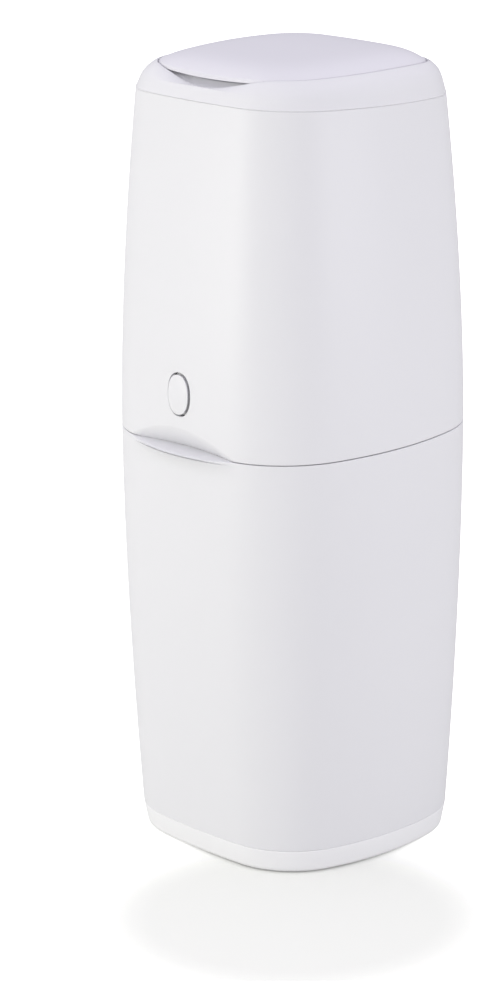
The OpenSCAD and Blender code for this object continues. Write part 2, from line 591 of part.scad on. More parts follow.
// Rubber grip with a round nose along the slit
grip_c = jaw_z + jaw_h / 2 - 0.9;
module grip() along_y(jaw_d - 1) polygon(concat([[nose_x, grip_c - 3.6]],
  [for (a = [-80 : 20 : 80]) [nose_x - grip_t * cos(a), grip_c + 3.6 * sin(a)]], [[nose_x, grip_c + 3.6]]));
module jaw_grip_left() color(rubber) side(-1) grip();
module jaw_grip_right() color(rubber) side(1) grip();
module jaw_spring(m) side(m) for (y = [-spring_y, spring_y])
  translate([jaw_l - pocket_l + seat, y, jaw_z + jaw_h / 2]) rotate([0, 90, 0]) difference() {
    cylinder(r = spring_r, h = guide_w / 2 - jaw_l + pocket_l - 2 * seat);
    translate([0, 0, -1]) cylinder(r = spring_r - 0.9, h = 100);
  }
module jaw_spring_left() color(steel) jaw_spring(-1);
module jaw_spring_right() color(steel) jaw_spring(1);

// Film cutter under the clamp.
cutter_x = throat_r + 22;
cutter_h = 12;
module cutter_housing() color(grey) translate([cutter_x, 0, frame_z - cover_t - cutter_h]) difference() {
  plate(34, 32, 5, cutter_h);
  translate([-1.5, -20, -1]) cube([3, 40, 7]);
  translate([0, 0, 5]) rotate([0, 0, 30]) cube([22, 0.8, 5], center = true);
}
module cutter_blade() color(steel) translate([cutter_x, 0, frame_z - cover_t - cutter_h + 5])
  rotate([0, 0, 30]) cube([22, 0.8, 5], center = true);

// Latch: a button pushes the lever, and the lever hook leaves the keeper.
pivot_in = 20.5;
pivot_up = 36;
pivot_y = front_in + pivot_in;
pivot_z = button_z + pivot_up;
lever_t = 3;
stem_y = pivot_y - lever_t / 2 - 0.3;
bracket_w = 46;
bracket_drop = 19;
bracket_top = 10;
function inner_y(z, x) = -body_d / 2 + wall + inset(z) + front_sag(x);
module bracket_slab(x, l) translate([x, 0, 0]) along_x(l) polygon(concat(
  [for (i = [0 : 6]) let(z = button_z - bracket_drop + i * (pivot_up + bracket_drop + bracket_top) / 6)
    [inner_y(z, bracket_w / 2) + seat, z]],
  [[pivot_y + 6, pivot_z + bracket_top], [pivot_y + 6, pivot_z - 6],
    [pivot_y - 2, button_z - bracket_drop]]));
module latch_bracket() color(grey) difference() {
  union() {
    for (s = [-1, 1]) bracket_slab(s * (bracket_w - 3) / 2, 3);
    intersection() {
      bracket_slab(0, bracket_w);
      block(-bracket_w, bracket_w, -body_d, 0, pivot_z + 7, pivot_z + 20);
    }
    block(-bracket_w / 2, bracket_w / 2, front_in + 9.5, front_in + 11.5,
      button_z - bracket_drop, button_z + bracket_drop);
  }
  rod_y(4.3, front_in, pivot_y, button_z);
  rod_x(2 + run, 100, pivot_y, pivot_z);
}
module latch_pin() color(steel) rod_x(2, bracket_w, pivot_y, pivot_z);
hook_z = keeper_z - 5 - 1;
hook_y = keeper_y + keeper_t + hook_clear;
module latch_lever() color(grey) difference() {
  union() {
    rod_x(4.5, 38, pivot_y, pivot_z);
    block(-17, 17, pivot_y - lever_t / 2, pivot_y + lever_t / 2, button_z - 22, pivot_z);
    along_x(20) polygon([[pivot_y - lever_t / 2, button_z - 20], [pivot_y + lever_t / 2, button_z - 20],
      [pivot_y + lever_t / 2, hook_z - 6], [hook_y, hook_z - 3], [hook_y, hook_z],
      [pivot_y - lever_t / 2, hook_z]]);
  }
  rod_x(2 + run, 40, pivot_y, pivot_z);
}
module release_button() color(white) {
  loft_solid([oval_at(0, front_in + 2), on_wall(0, 1, -0.2), on_wall(0, 0.98, 0.3), on_wall(0, 0.93, 0.75),
    on_wall(0, 0.8, 0.72 * button_rise), on_wall(0, 0.5, 0.94 * button_rise), on_wall(0, 0.16, button_rise)]);
  loft_solid([oval_at(1.6, front_in + 2.8), oval_at(1.6, front_in + 1.2)]);
  rod_y(4, front_in + 2.7, stem_y - 1.6, button_z);
  rod_y(1.8, stem_y - 2, stem_y, button_z);
}
module button_spring() color(steel) difference() {
  rod_y(6, front_in + 3, front_in + 9.3, button_z);
  rod_y(5, front_in, front_in + 12, button_z);
}

// Lid: a shallow dome with its hinge barrel, liner, seal and hinge pins.
lid_rings = [1, 0.975, 0.93, 0.86, 0.75, 0.58, 0.35, 0.12];
function lid_top(y, r) = dome_z + rim(y)
  + dome_h * (1 - pow(r, dome_power)) * (1 + dome_skew * y / lid_half);
function droop(x, y, r) = y < 0 ? front_drop * recess(x) * pow(r, 10) : 0;
function lid_ring(r, t) = [for (p = outline(lid_inset)) let(x = r * p[0], y = r * rear_y(p[1], 1))
  [x, y, lid_top(y, r) - droop(x, y, r) - t]];
module lid_loft() loft_solid(concat(
  [for (r = [0.35, 0.62, liner_r - 0.04, liner_r]) lid_ring(r, lid_t)],
  [lid_ring(0.985, lid_t), lid_ring(1, lid_t - 0.6), lid_ring(1, 0.7)],
  [for (i = [0 : len(lid_rings) - 1]) lid_ring(i == 0 ? 0.992 : lid_rings[i], 0)]));
module lid() color(lid_white) difference() {
  union() {
    lid_loft();
    rod_x(lid_barrel_r, 2 * lid_barrel_half, lid_hinge_y, lid_hinge_z);
    along_x(2 * lid_barrel_half) polygon([[lid_hinge_y, lid_hinge_z + lid_barrel_r],
      [lid_hinge_y - lid_barrel_r + 0.4, lid_hinge_z - 1.2], [lid_back - 2.8, rear_z - lid_t + 0.6],
      [lid_back - 2.8, rear_z + 0.3], [lid_back - 0.2, rear_z + 0.1]]);
  }
  rod_x(lid_pin_r + run, 2 * lid_barrel_half + 2, lid_hinge_y, lid_hinge_z);
}
module lid_hinge_pins() color(steel) for (s = [-1, 1])
  translate([s * lug_x, 0, 0]) rod_x(lid_pin_r, 10, lid_hinge_y, lid_hinge_z);
rear_z = dome_z + rim(lid_back);
liner_r = 0.9;
liner_z = dome_z - lid_t - liner_drop + 4;
function liner_ring(r, z) = [for (p = outline(lid_inset)) [r * p[0], r * rear_y(p[1], 1), z]];
module lid_liner() color(white) loft_solid([
  liner_ring(liner_r - 0.05, liner_z + 2), liner_ring(liner_r - 0.05, liner_z), liner_ring(liner_r, liner_z),
  liner_ring(liner_r, liner_z + 3), lid_ring(liner_r, lid_t + 0.08), lid_ring(liner_r - 0.04, lid_t + 0.08),
  liner_ring(liner_r - 0.04, liner_z + 4)]);
module lid_seal() color(rubber) loft_ring([
  liner_ring(liner_r + 0.038, liner_z + 1), liner_ring(liner_r + 0.038, liner_z + 3),
  liner_ring(liner_r + 0.001, liner_z + 3), liner_ring(liner_r + 0.001, liner_z + 1)]);

lower_shell();
base_plinth();
rubber_feet();
plinth_screws();
latch_keeper();
keeper_screws();
hinge_leaf_lower();
leaf_screws_lower();
bucket_hinge_pin();
upper_shell();
hinge_leaf_upper();
leaf_screws_upper();
crown();
crown_screws();
inner_deck();
clamp_frame();
clamp_cover();
clamp_screws();
cutter_housing();
cutter_blade();
cassette_tub();
cassette_core();
cassette_cap();
film_pack();
latch_bracket();
latch_pin();
lid_hinge_pins();
lid();
lid_liner();
lid_seal();
jaw_left();
jaw_right();
jaw_grip_left();
jaw_grip_right();
jaw_spring_left();
jaw_spring_right();
release_button();
button_spring();
latch_lever();
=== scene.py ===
import json
from math import atan2, cos, degrees, hypot, pi, radians, sin, sqrt

import bpy
import bmesh
from mathutils import Matrix, Vector


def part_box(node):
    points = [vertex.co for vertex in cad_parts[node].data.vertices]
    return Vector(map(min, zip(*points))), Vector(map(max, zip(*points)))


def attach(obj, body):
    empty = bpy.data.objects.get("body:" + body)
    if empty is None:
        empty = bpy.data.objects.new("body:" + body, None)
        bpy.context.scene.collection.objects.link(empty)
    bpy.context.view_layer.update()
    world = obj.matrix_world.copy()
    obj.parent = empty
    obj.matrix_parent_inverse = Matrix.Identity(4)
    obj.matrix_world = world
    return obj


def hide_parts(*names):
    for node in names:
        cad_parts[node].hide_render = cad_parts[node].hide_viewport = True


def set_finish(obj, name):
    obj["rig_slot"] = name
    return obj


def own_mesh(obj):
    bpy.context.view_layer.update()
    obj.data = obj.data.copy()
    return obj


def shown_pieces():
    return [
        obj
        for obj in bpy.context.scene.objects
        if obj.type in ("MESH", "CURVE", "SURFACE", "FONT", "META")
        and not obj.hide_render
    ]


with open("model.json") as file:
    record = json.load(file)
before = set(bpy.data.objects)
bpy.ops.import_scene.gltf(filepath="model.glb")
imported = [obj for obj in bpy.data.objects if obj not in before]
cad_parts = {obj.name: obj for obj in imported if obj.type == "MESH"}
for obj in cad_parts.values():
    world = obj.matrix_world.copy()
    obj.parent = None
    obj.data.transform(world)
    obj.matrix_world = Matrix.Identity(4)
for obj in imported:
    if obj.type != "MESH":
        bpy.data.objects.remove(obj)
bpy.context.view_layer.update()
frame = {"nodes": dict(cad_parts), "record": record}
nodes = frame["nodes"]

mm = 0.001  # sizes are written in millimetres, and the scene is in metres


# The mouldings share one outline of eight arcs, each tangent to the next. inset(z) draws it in.
# The seams slope from front to back, and the rows of the skin between them slope with them.
plan = {"width": 234.0, "depth": 224.0, "frontRadius": 540.0, "sideRadius": 220.0, "cornerRadius": 72.0,
        "sideSteps": 24, "backCornerSteps": 30, "frontCornerSteps": 46, "backSteps": 30, "frontSteps": 72}
heights = {"plinthSeam": 18.4, "middleSeam": 318.0, "topSeam": 566.0, "middleRise": 0.024, "topRise": -0.027,
           "groove": 0.6}
barrel = {"atTop": 14.2, "atBase": 11.8, "atFloor": 3.5, "power": 1.78, "wall": 3.0, "edge": 0.7}


def meetCircles(x0, y0, r0, x1, y1, r1):  # one of the two points where two circles cross
    dx, dy = x1 - x0, y1 - y0
    d = hypot(dx, dy)
    a = (r0 * r0 - r1 * r1 + d * d) / (2 * d)
    h = sqrt(r0 * r0 - a * a)
    return x0 + (a * dx + h * dy) / d, y0 + (a * dy - h * dx) / d


def planSteps():  # every point of the outline as centre, radius and angle of its arc
    p = plan
    side, front = p["sideRadius"] - p["width"] / 2, p["frontRadius"] - p["depth"] / 2
    cx, cy = meetCircles(-side, 0, p["sideRadius"] - p["cornerRadius"],
                         0, front, p["frontRadius"] - p["cornerRadius"])
    sideTurn, frontTurn = degrees(atan2(-cy, cx + side)), degrees(atan2(cx, front - cy))
    arcs = [(-side, 0, p["sideRadius"], -sideTurn, sideTurn, p["sideSteps"]),
            (cx, -cy, p["cornerRadius"], sideTurn, 90 - frontTurn, p["backCornerSteps"]),
            (0, -front, p["frontRadius"], 90 - frontTurn, 90 + frontTurn, p["backSteps"]),
            (-cx, -cy, p["cornerRadius"], 90 + frontTurn, 180 - sideTurn, p["backCornerSteps"]),
            (side, 0, p["sideRadius"], 180 - sideTurn, 180 + sideTurn, p["sideSteps"]),
            (-cx, cy, p["cornerRadius"], 180 + sideTurn, 270 - frontTurn, p["frontCornerSteps"]),
            (0, front, p["frontRadius"], 270 - frontTurn, 270 + frontTurn, p["frontSteps"]),
            (cx, cy, p["cornerRadius"], 270 + frontTurn, 360 - sideTurn, p["frontCornerSteps"])]
    steps = []
    for x, y, radius, start, end, count in arcs:
        steps += [(x, y, radius, radians(start + (end - start) * i / count)) for i in range(count)]
    return steps, (cx, cy), front


outlineSteps, cornerCentre, frontCentre = planSteps()


def outline(inward):
    return [(x + (r - inward) * cos(a), y + (r - inward) * sin(a)) for x, y, r, a in outlineSteps]


def inset(z):
    h, b = heights, barrel
    if z > h["middleSeam"]:
        return b["atTop"] * ((z - h["middleSeam"]) / (h["topSeam"] - h["middleSeam"])) ** b["power"]
    if z > h["plinthSeam"]:
        return b["atBase"] * ((h["middleSeam"] - z) / (h["middleSeam"] - h["plinthSeam"])) ** b["power"]
    return b["atBase"] + b["atFloor"] * (h["plinthSeam"] - z) / h["plinthSeam"]


def tilt(z):  # how much the skin's row at this height rises per millimetre towards the back
    h = heights
    if z > h["topSeam"]:
        return h["topRise"] * max(0, 1 - (z - h["topSeam"]) / (crown["levelShare"] * crown["height"]))
    if z > h["middleSeam"]:
        change = (h["topRise"] - h["middleRise"]) * (z - h["middleSeam"])
        return h["middleRise"] + change / (h["topSeam"] - h["middleSeam"])
    return h["middleRise"] * max(0, (z - h["plinthSeam"]) / (h["middleSeam"] - h["plinthSeam"]))


def ring(z, inward, rise=0.0, push=None, lift=None):  # push and lift move the front half, by its x
    return [(x, y + (push(x) if push and y < 0 else 0), z + rise * y + (lift(x) if lift and y < 0 else 0))
            for x, y in outline(inward)]


def skin(z, inward=0.0, push=None, lift=None):  # a ring on the barrel, or further in
    return ring(z, inset(z) + inward, tilt(z), push, lift)


def roundEdge(radius, steps=5):  # inward and along, from the face to the end of a quarter round
    turns = [pi / 2 * i / steps for i in range(steps + 1)]
    return [(radius * (1 - cos(a)), radius * (1 - sin(a))) for a in turns]


def spread(start, end, count, both=False):
    return [start + (end - start) * i / count for i in range(count + (1 if both else 0))]


def softMax(value, soft):
    return 0.5 * (value + sqrt(value * value + soft * soft))


def frontSag(x):  # how far the front falls back beside its middle
    return plan["frontRadius"] - sqrt(plan["frontRadius"] ** 2 - x * x)


def smoothTable(table, at):  # a smooth curve through pairs of numbers
    k = max(i for i in range(len(table) - 1) if table[i][0] <= at or i == 0)
    slopes = []
    for i in (k, k + 1):
        a, b = table[max(i - 1, 0)], table[min(i + 1, len(table) - 1)]
        slopes.append((b[1] - a[1]) / (b[0] - a[0]))
    (x0, y0), (x1, y1) = table[k], table[k + 1]
    w = x1 - x0
    t = (at - x0) / w
    return (y0 * (1 + 2 * t) * (1 - t) ** 2 + y1 * t * t * (3 - 2 * t)
            + slopes[0] * w * t * (1 - t) ** 2 - slopes[1] * w * t * t * (1 - t))


# Every mesh is smooth, apart from edges that turn more than the sharp angle. The weld is in metres.
meshing = {"sharp": 34, "weld": 0.00001, "bevelSteps": 3, "pillSteps": 4}


def addObject(name, data):
    thing = bpy.data.objects.new(name, data)
    bpy.context.scene.collection.objects.link(thing)
    return thing


def smoothMesh(mesh):
    mesh.polygons.foreach_set("use_smooth", [True] * len(mesh.polygons))
    mesh.set_sharp_from_angle(angle=radians(meshing["sharp"]))


def evenNormals(piece):
    even = piece.modifiers.new("even", "WEIGHTED_NORMAL")
    even.keep_sharp = True


def addBevel(piece, width, angle):
    bevel = piece.modifiers.new("edge", "BEVEL")
    bevel.width = width * mm
    bevel.segments = meshing["bevelSteps"]
    bevel.limit_method = "ANGLE"
    bevel.angle_limit = radians(angle)


def addPiece(name, points, faces, weld=False):
    mesh = bpy.data.meshes.new(name)
    mesh.from_pydata([tuple(c * mm for c in p) for p in points], [], faces)
    work = bmesh.new()
    work.from_mesh(mesh)
    if weld:
        bmesh.ops.remove_doubles(work, verts=work.verts, dist=meshing["weld"])
    bmesh.ops.recalc_face_normals(work, faces=work.faces)
    work.to_mesh(mesh)
    work.free()
    piece = addObject(name, mesh)
    smoothMesh(mesh)
    evenNormals(piece)
    return piece


def loftParts(rings, joined=False, ends=False, skip=()):  # skip leaves out faces, by ring and column
    points, faces, width = [p for r in rings for p in r], [], len(rings[0])
    for j in range(len(rings) if joined else len(rings) - 1):
        k = (j + 1) % len(rings)
        for i in range(width):
            if (j, i) not in skip:
                n = (i + 1) % width
                faces.append((j * width + i, j * width + n, k * width + n, k * width + i))
    if ends:
        for j in (0, len(rings) - 1):
            middle = [sum(p[c] for p in rings[j]) / width for c in range(3)]
            points.append(tuple(middle))
            faces += [(j * width + i, j * width + (i + 1) % width, len(points) - 1) for i in range(width)]
    return points, faces


def joinParts(*parts):
    points, faces = [], []
    for somePoints, someFaces in parts:
        start = len(points)
        points += list(somePoints)
        faces += [tuple(start + i for i in f) for f in someFaces]
    return points, faces


def turned(profile, centre, steps=48, axis="z"):  # a closed round part from (radius, along) pairs
    rings = []
    for radius, along in profile:
        circle = []
        for i in range(steps):
            a, b = radius * cos(2 * pi * i / steps), radius * sin(2 * pi * i / steps)
            offset = {"x": (along, a, b), "y": (a, along, b), "z": (a, b, along)}[axis]
            circle.append(tuple(c + o for c, o in zip(centre, offset)))
        rings.append(circle)
    return loftParts(rings, ends=True)


def pill(radius, start, end, edge):  # profile of a rod with rounded ends
    turn = roundEdge(edge, meshing["pillSteps"])
    return [(radius - i, start + a) for i, a in reversed(turn)] + [(radius - i, end - a) for i, a in turn]


def boxPart(x0, x1, y0, y1, z0, z1):
    points = [(x, y, z) for x in (x0, x1) for y in (y0, y1) for z in (z0, z1)]
    return points, [(0, 1, 3, 2), (4, 6, 7, 5), (0, 4, 5, 1), (2, 3, 7, 6), (0, 2, 6, 4), (1, 5, 7, 3)]


def prismPart(profile, x0, x1):  # (y, z) pairs pulled along x
    n = len(profile)
    points = [(x, y, z) for x in (x0, x1) for y, z in profile]
    return points, ([tuple(range(n)), tuple(range(2 * n - 1, n - 1, -1))]
                    + [(i, (i + 1) % n, n + (i + 1) % n, n + i) for i in range(n)])


def cutPiece(piece, cutter):  # takes the cutter out of a closed mesh and keeps the result as its mesh
    tool = addPiece("cutter", *cutter)
    tool.modifiers.clear()
    cut = piece.modifiers.new("cut", "BOOLEAN")
    cut.operation, cut.solver, cut.object = "DIFFERENCE", "EXACT", tool
    piece.modifiers.move(len(piece.modifiers) - 1, 0)
    for other in piece.modifiers:
        other.show_viewport = other.name == "cut"
    graph = bpy.context.evaluated_depsgraph_get()
    mesh = bpy.data.meshes.new_from_object(piece.evaluated_get(graph))
    piece.modifiers.remove(piece.modifiers["cut"])
    for other in piece.modifiers:
        other.show_viewport = True
    piece.data = mesh
    mesh.name = piece.name
    bpy.data.objects.remove(tool)
    smoothMesh(mesh)


def settle(piece, body, slot, *replaced):
    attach(piece, body)
    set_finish(piece, slot)
    if replaced:
        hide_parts(*replaced)


# The camera's place is in metres and its angles in degrees, apart from the roll, which is in radians.
# The focal length, the middle and the frame are in pixels of the photograph, and the film's height in mm.
view = {"place": (1.9211, -1.7605, 0.9836), "back": 1.0156, "around": 47.5, "down": 15.53, "roll": -0.005,
        "focal": 3665.4, "middle": (292.7, 489.4), "frame": (500, 981), "film": 36}


def makeCamera():
    a, p = radians(view["around"]), radians(-view["down"])
    ahead = Vector((-sin(a) * cos(p), cos(a) * cos(p), sin(p)))
    right = ahead.cross(Vector((0, 0, 1))).normalized()
    up = right.cross(ahead)
    c, s = cos(view["roll"]), sin(view["roll"])
    right, up = right * c + up * s, up * c - right * s
    place = Matrix((right, up, -ahead)).transposed().to_4x4()
    place.translation = Vector(view["place"]) * view["back"]
    lens = bpy.data.cameras.new("camera")
    wide, high = view["frame"]
    lens.sensor_fit, lens.sensor_height = "VERTICAL", view["film"]
    lens.lens = view["focal"] / high * view["film"]
    lens.shift_x = -(view["middle"][0] - wide / 2) / high
    lens.shift_y = (view["middle"][1] - high / 2) / high
    camera = addObject("camera", lens)
    camera.matrix_world = place
    bpy.context.scene.camera = camera


makeCamera()
print("camera: set")


# The lower half is one shell with a floor. Its front swells into the lip, with a shelf behind the lip.
# The groove under the lip is (down, in) from the lip's edge, the inner edge (out, down) from the wall's top.
lower = {"lipReach": 7.5, "lipRadius": 152.0, "lipHeight": 16.0, "lipCurve": 3.0, "lipRound": 14.0,
         "lipDrop": 1.4, "lipStep": 0.5, "lipThick": 1.3, "lipSoft": 0.5, "lipStart": 0.005, "lipFull": 0.8,
         "lipCrest": 0.8, "lipRoom": 1.0, "shelfDepth": 15.4, "shelfHeight": 12.0, "shelfRows": (2, 4),
         "groove": ((1.2, 2.2), (0.6, 2.2), (0.52, 0.5), (0.45, 0.25), (0.32, 0.08), (0.15, 0)),
         "fadeFrom": 0.6, "fadeTo": 1.6, "fadeRows": (9, 12, 15, 18),
         "innerEdge": ((0.4, 0), (0.1, 0.1), (0, 0.4)),
         "floor": 24.0, "floorThickness": 3.0, "floorRound": 9.0, "floorSteps": 8,
         "wallRows": 44, "lipRows": 26, "crestRows": 9, "innerRows": 40}
scoop = {"halfWidth": 57.0, "depth": 11.4, "height": 15.4, "curve": 1.45, "close": 0.45, "fadeRate": 4}


def lipOut(x):
    if abs(x) >= lower["lipRadius"]:
        return 0.0
    middle = plan["depth"] / 2 + lower["lipReach"] - lower["lipRadius"]
    reach = middle + sqrt(lower["lipRadius"] ** 2 - x * x) - plan["depth"] / 2 + frontSag(x)
    return max(0.0, softMax(reach, lower["lipSoft"]) - lower["lipStart"])


def lipShare(x):
    return min(1.0, lipOut(x) / (lower["lipReach"] * lower["lipFull"]))


def lipFade(h):
    return max(0.0, 1 - h / lower["lipHeight"]) ** lower["lipCurve"]


def shelfIn(x):
    return max(0.0, (lower["shelfDepth"] - barrel["wall"]) * (1 - (x / scoop["halfWidth"]) ** 2))


def lipRings(rimZ):  # from the start of the lip's swell, over its groove and crest, to the inner edge
    s, edge, under = lower, barrel["edge"], lower["lipDrop"] + lower["lipThick"]
    rings = []
    for h in spread(s["lipHeight"] + s["lipRoom"], under, s["lipRows"], True):
        fade = lipFade(h - under)
        rings.append(skin(rimZ - h, 0, lambda x: -max(0, lipOut(x) - s["lipStep"] * lipShare(x)) * fade))
    for h, back in s["groove"]:
        rings.append(skin(rimZ - s["lipDrop"] - h, 0, lambda x: back * lipShare(x) - lipOut(x)))
    for i, a in roundEdge(edge):
        rings.append(skin(rimZ - a, i, lambda x: i * lipShare(x) - lipOut(x),
                          lambda x: (a * s["lipCrest"] - s["lipDrop"]) * lipShare(x)))
    for t in spread(0, 1, s["crestRows"], True)[1:]:
        rings.append(skin(rimZ, edge, lambda x: (s["lipRound"] * t - edge) * lipShare(x) - lipOut(x),
                          lambda x: -s["lipDrop"] * (1 - t) ** 2 * lipShare(x)))
    return rings


def shelfRings(rimZ):  # down the inside of the wall, where the shelf fades out
    s, wall, rings = lower, barrel["wall"], []
    start, end = s["fadeFrom"] * s["shelfHeight"], s["fadeTo"] * s["shelfHeight"]
    rings += [skin(rimZ - down, wall - back, shelfIn) for back, down in s["innerEdge"]]
    rings += [skin(rimZ - h, wall, shelfIn) for h in (*s["shelfRows"], start)]
    for h in (*s["fadeRows"], end):
        share = (end - h) / (end - start)
        rings.append(skin(rimZ - h, wall, lambda x: shelfIn(x) * share))
    return rings


def lowerRings():
    s, base, wall, edge = lower, heights["plinthSeam"], barrel["wall"], barrel["edge"]
    rimZ = heights["middleSeam"] - heights["groove"] / 2
    rings = [skin(base + a, i) for i, a in reversed(roundEdge(edge))]
    rings += [skin(z) for z in spread(base + edge, rimZ - s["lipHeight"] - s["lipRoom"], s["wallRows"])[1:]]
    rings += lipRings(rimZ) + shelfRings(rimZ)
    bottom, bend, low = s["floor"] + s["floorThickness"], s["floorRound"], s["fadeTo"] * s["shelfHeight"]
    rings += [skin(z, wall) for z in spread(rimZ - low, bottom + bend, s["innerRows"])[1:]]
    rings += [ring(bottom + a, inset(bottom + a) + wall + i) for i, a in roundEdge(bend, s["floorSteps"])]
    return rings


lowerShell = addPiece("lowerShell", *loftParts(lowerRings(), ends=True))
settle(lowerShell, "base", "shell_white", "lower_shell")
print("lower shell: %d faces" % len(lowerShell.data.polygons))


# The plinth is a skirt under the lower half, with a plate across it, and bosses that carry the feet.
plinth = {"lift": 0.8, "edge": 3.0, "seamEdge": 1.1, "topFlat": 6.0, "chamfer": 0.4, "skirtEnd": 0.3,
          "wallRows": 8, "innerRows": 6, "plateIn": 20.0, "underIn": 12.0, "underLap": 0.1,
          "footRadius": 9.0, "footHeight": 3.0, "footEdge": 0.9, "footIn": 21.0,
          "bossRadius": 10.0, "bossEdge": 0.6, "bossInto": 0.5}


def cornerSpots(reach):
    d = reach * cos(pi / 4)
    return [(sx * (cornerCentre[0] + d), sy * (-cornerCentre[1] + d)) for sx in (-1, 1) for sy in (-1, 1)]


def plinthParts():
    s, top, wall = plinth, heights["plinthSeam"], barrel["wall"]
    lift, chamfer = s["lift"], s["chamfer"]
    plateStart, under = s["topFlat"] + chamfer, top - wall
    rings = [skin(lift + a, i) for i, a in reversed(roundEdge(s["edge"]))]
    rings += [skin(z) for z in spread(lift + s["edge"], top - s["seamEdge"], s["wallRows"])[1:]]
    rings += [skin(top - a, i) for i, a in roundEdge(s["seamEdge"])]
    rings += [skin(top, s["topFlat"]), skin(top - chamfer, plateStart)]
    plateEdge = ring(top - s["skirtEnd"], inset(top) + plateStart)
    inner = [skin(z, wall) for z in spread(under, lift + chamfer, s["innerRows"], True)]
    foot = skin(lift, wall - chamfer)
    plateUnder = [ring(under, inset(under) + wall - s["underLap"]), ring(under, inset(under) + s["underIn"])]
    plateTop = [plateEdge, ring(top - s["skirtEnd"], inset(top) + s["plateIn"])]
    parts = [loftParts(rings + [plateEdge]), loftParts(inner + [foot]), loftParts(plateUnder, ends=True),
             loftParts(plateTop, ends=True), loftParts([foot, skin(lift, s["edge"])])]
    spots = cornerSpots(plan["cornerRadius"] - barrel["atBase"] - s["footIn"])
    boss = pill(s["bossRadius"], s["footHeight"], under + s["bossInto"], s["bossEdge"])
    parts += [turned(boss, (x, y, 0)) for x, y in spots]
    feet = [turned(pill(s["footRadius"], 0, s["footHeight"], s["footEdge"]), (x, y, 0)) for x, y in spots]
    return joinParts(*parts), joinParts(*feet)


plinthMesh, feetMesh = plinthParts()
basePlinth = addPiece("basePlinth", *plinthMesh, weld=True)
settle(basePlinth, "base", "plinth_white", "base_plinth")
rubberFeet = addPiece("rubberFeet", *feetMesh)
settle(rubberFeet, "base", "rubber", "rubber_feet")
print("plinth: built with four feet")


# The upper half is one closed grid, out and in. The hole for the button replaces a patch of the grid's faces.
# The button's rim is (share of the outline, out from the wall), its flange (grown by, behind the wall).
upper = {"flangeIn": 30.0, "flangeDown": 10.0, "chamfer": 0.4, "scoopRoom": 1.0, "rowGap": 0.2,
         "innerStart": 4.0, "holeHalfColumns": 14, "holeHalfHeight": 23.0, "holeRows": 24, "scoopRows": 22,
         "wallRows": 44, "innerRows": 30, "patchRows": 9, "backPatchRows": 4, "patchPower": 0.9,
         "holeEdgeSteps": 6}
button = {"width": 21.2, "height": 29.4, "up": 38.0, "power": 0.88, "holeRound": 0.35, "groove": 1.5,
          "rim": ((0.8, -3), (0.8, -0.3), (0.95, -0.15), (0.985, 0.05), (0.99, 0.4), (1, 0.75),
                  (0.998, 0.95), (0.99, 1.08), (0.975, 1.16)),
          "dome": 0.8, "domeRows": (0.96, 0.9, 0.8, 0.66, 0.5, 0.3, 0.1), "sides": 112,
          "flange": ((1.6, 2.8), (1.6, 2.2), (-1, 2)),
          "stemRadius": 4, "stemFrom": 2.7, "stemTo": 17.1, "stemEdge": 0.4, "stemSides": 32}
buttonZ = heights["middleSeam"] + button["up"]
settlingSteps = {"buttonRow": 8, "hole": 4}  # how often a height on the tilted rows is worked out again


def buttonRow():  # height of the button in the skin's own, tilted, rows
    z = buttonZ
    for _ in range(settlingSteps["buttonRow"]):
        z = buttonZ + tilt(z) * (plan["depth"] / 2 - inset(z))
    return z


def oval(grow, angle):
    c, s, p = cos(angle), sin(angle), button["power"]
    return ((button["width"] / 2 + grow) * (1 if c > 0 else -1) * abs(c) ** p,
            (button["height"] / 2 + grow) * (1 if s > 0 else -1) * abs(s) ** p)


def wallPoint(x, z, inward):
    y = frontCentre - sqrt((plan["frontRadius"] - inset(z) - inward) ** 2 - x * x)
    return x, y, z + tilt(z) * y


def scoopIn(h):  # the wall leaves the face softly and leans in more and more towards the seam
    def reach(x):
        across = 1 - (x / scoop["halfWidth"]) ** 2
        if across <= 0 or across <= h / scoop["height"]:
            return 0.0
        return scoop["depth"] * across * (1 - h / scoop["height"] / across) ** scoop["curve"]
    return reach


def inScoop(x):
    return min(1.0, max(0.0, scoop["fadeRate"] * (1 - (x / scoop["halfWidth"]) ** 2)))


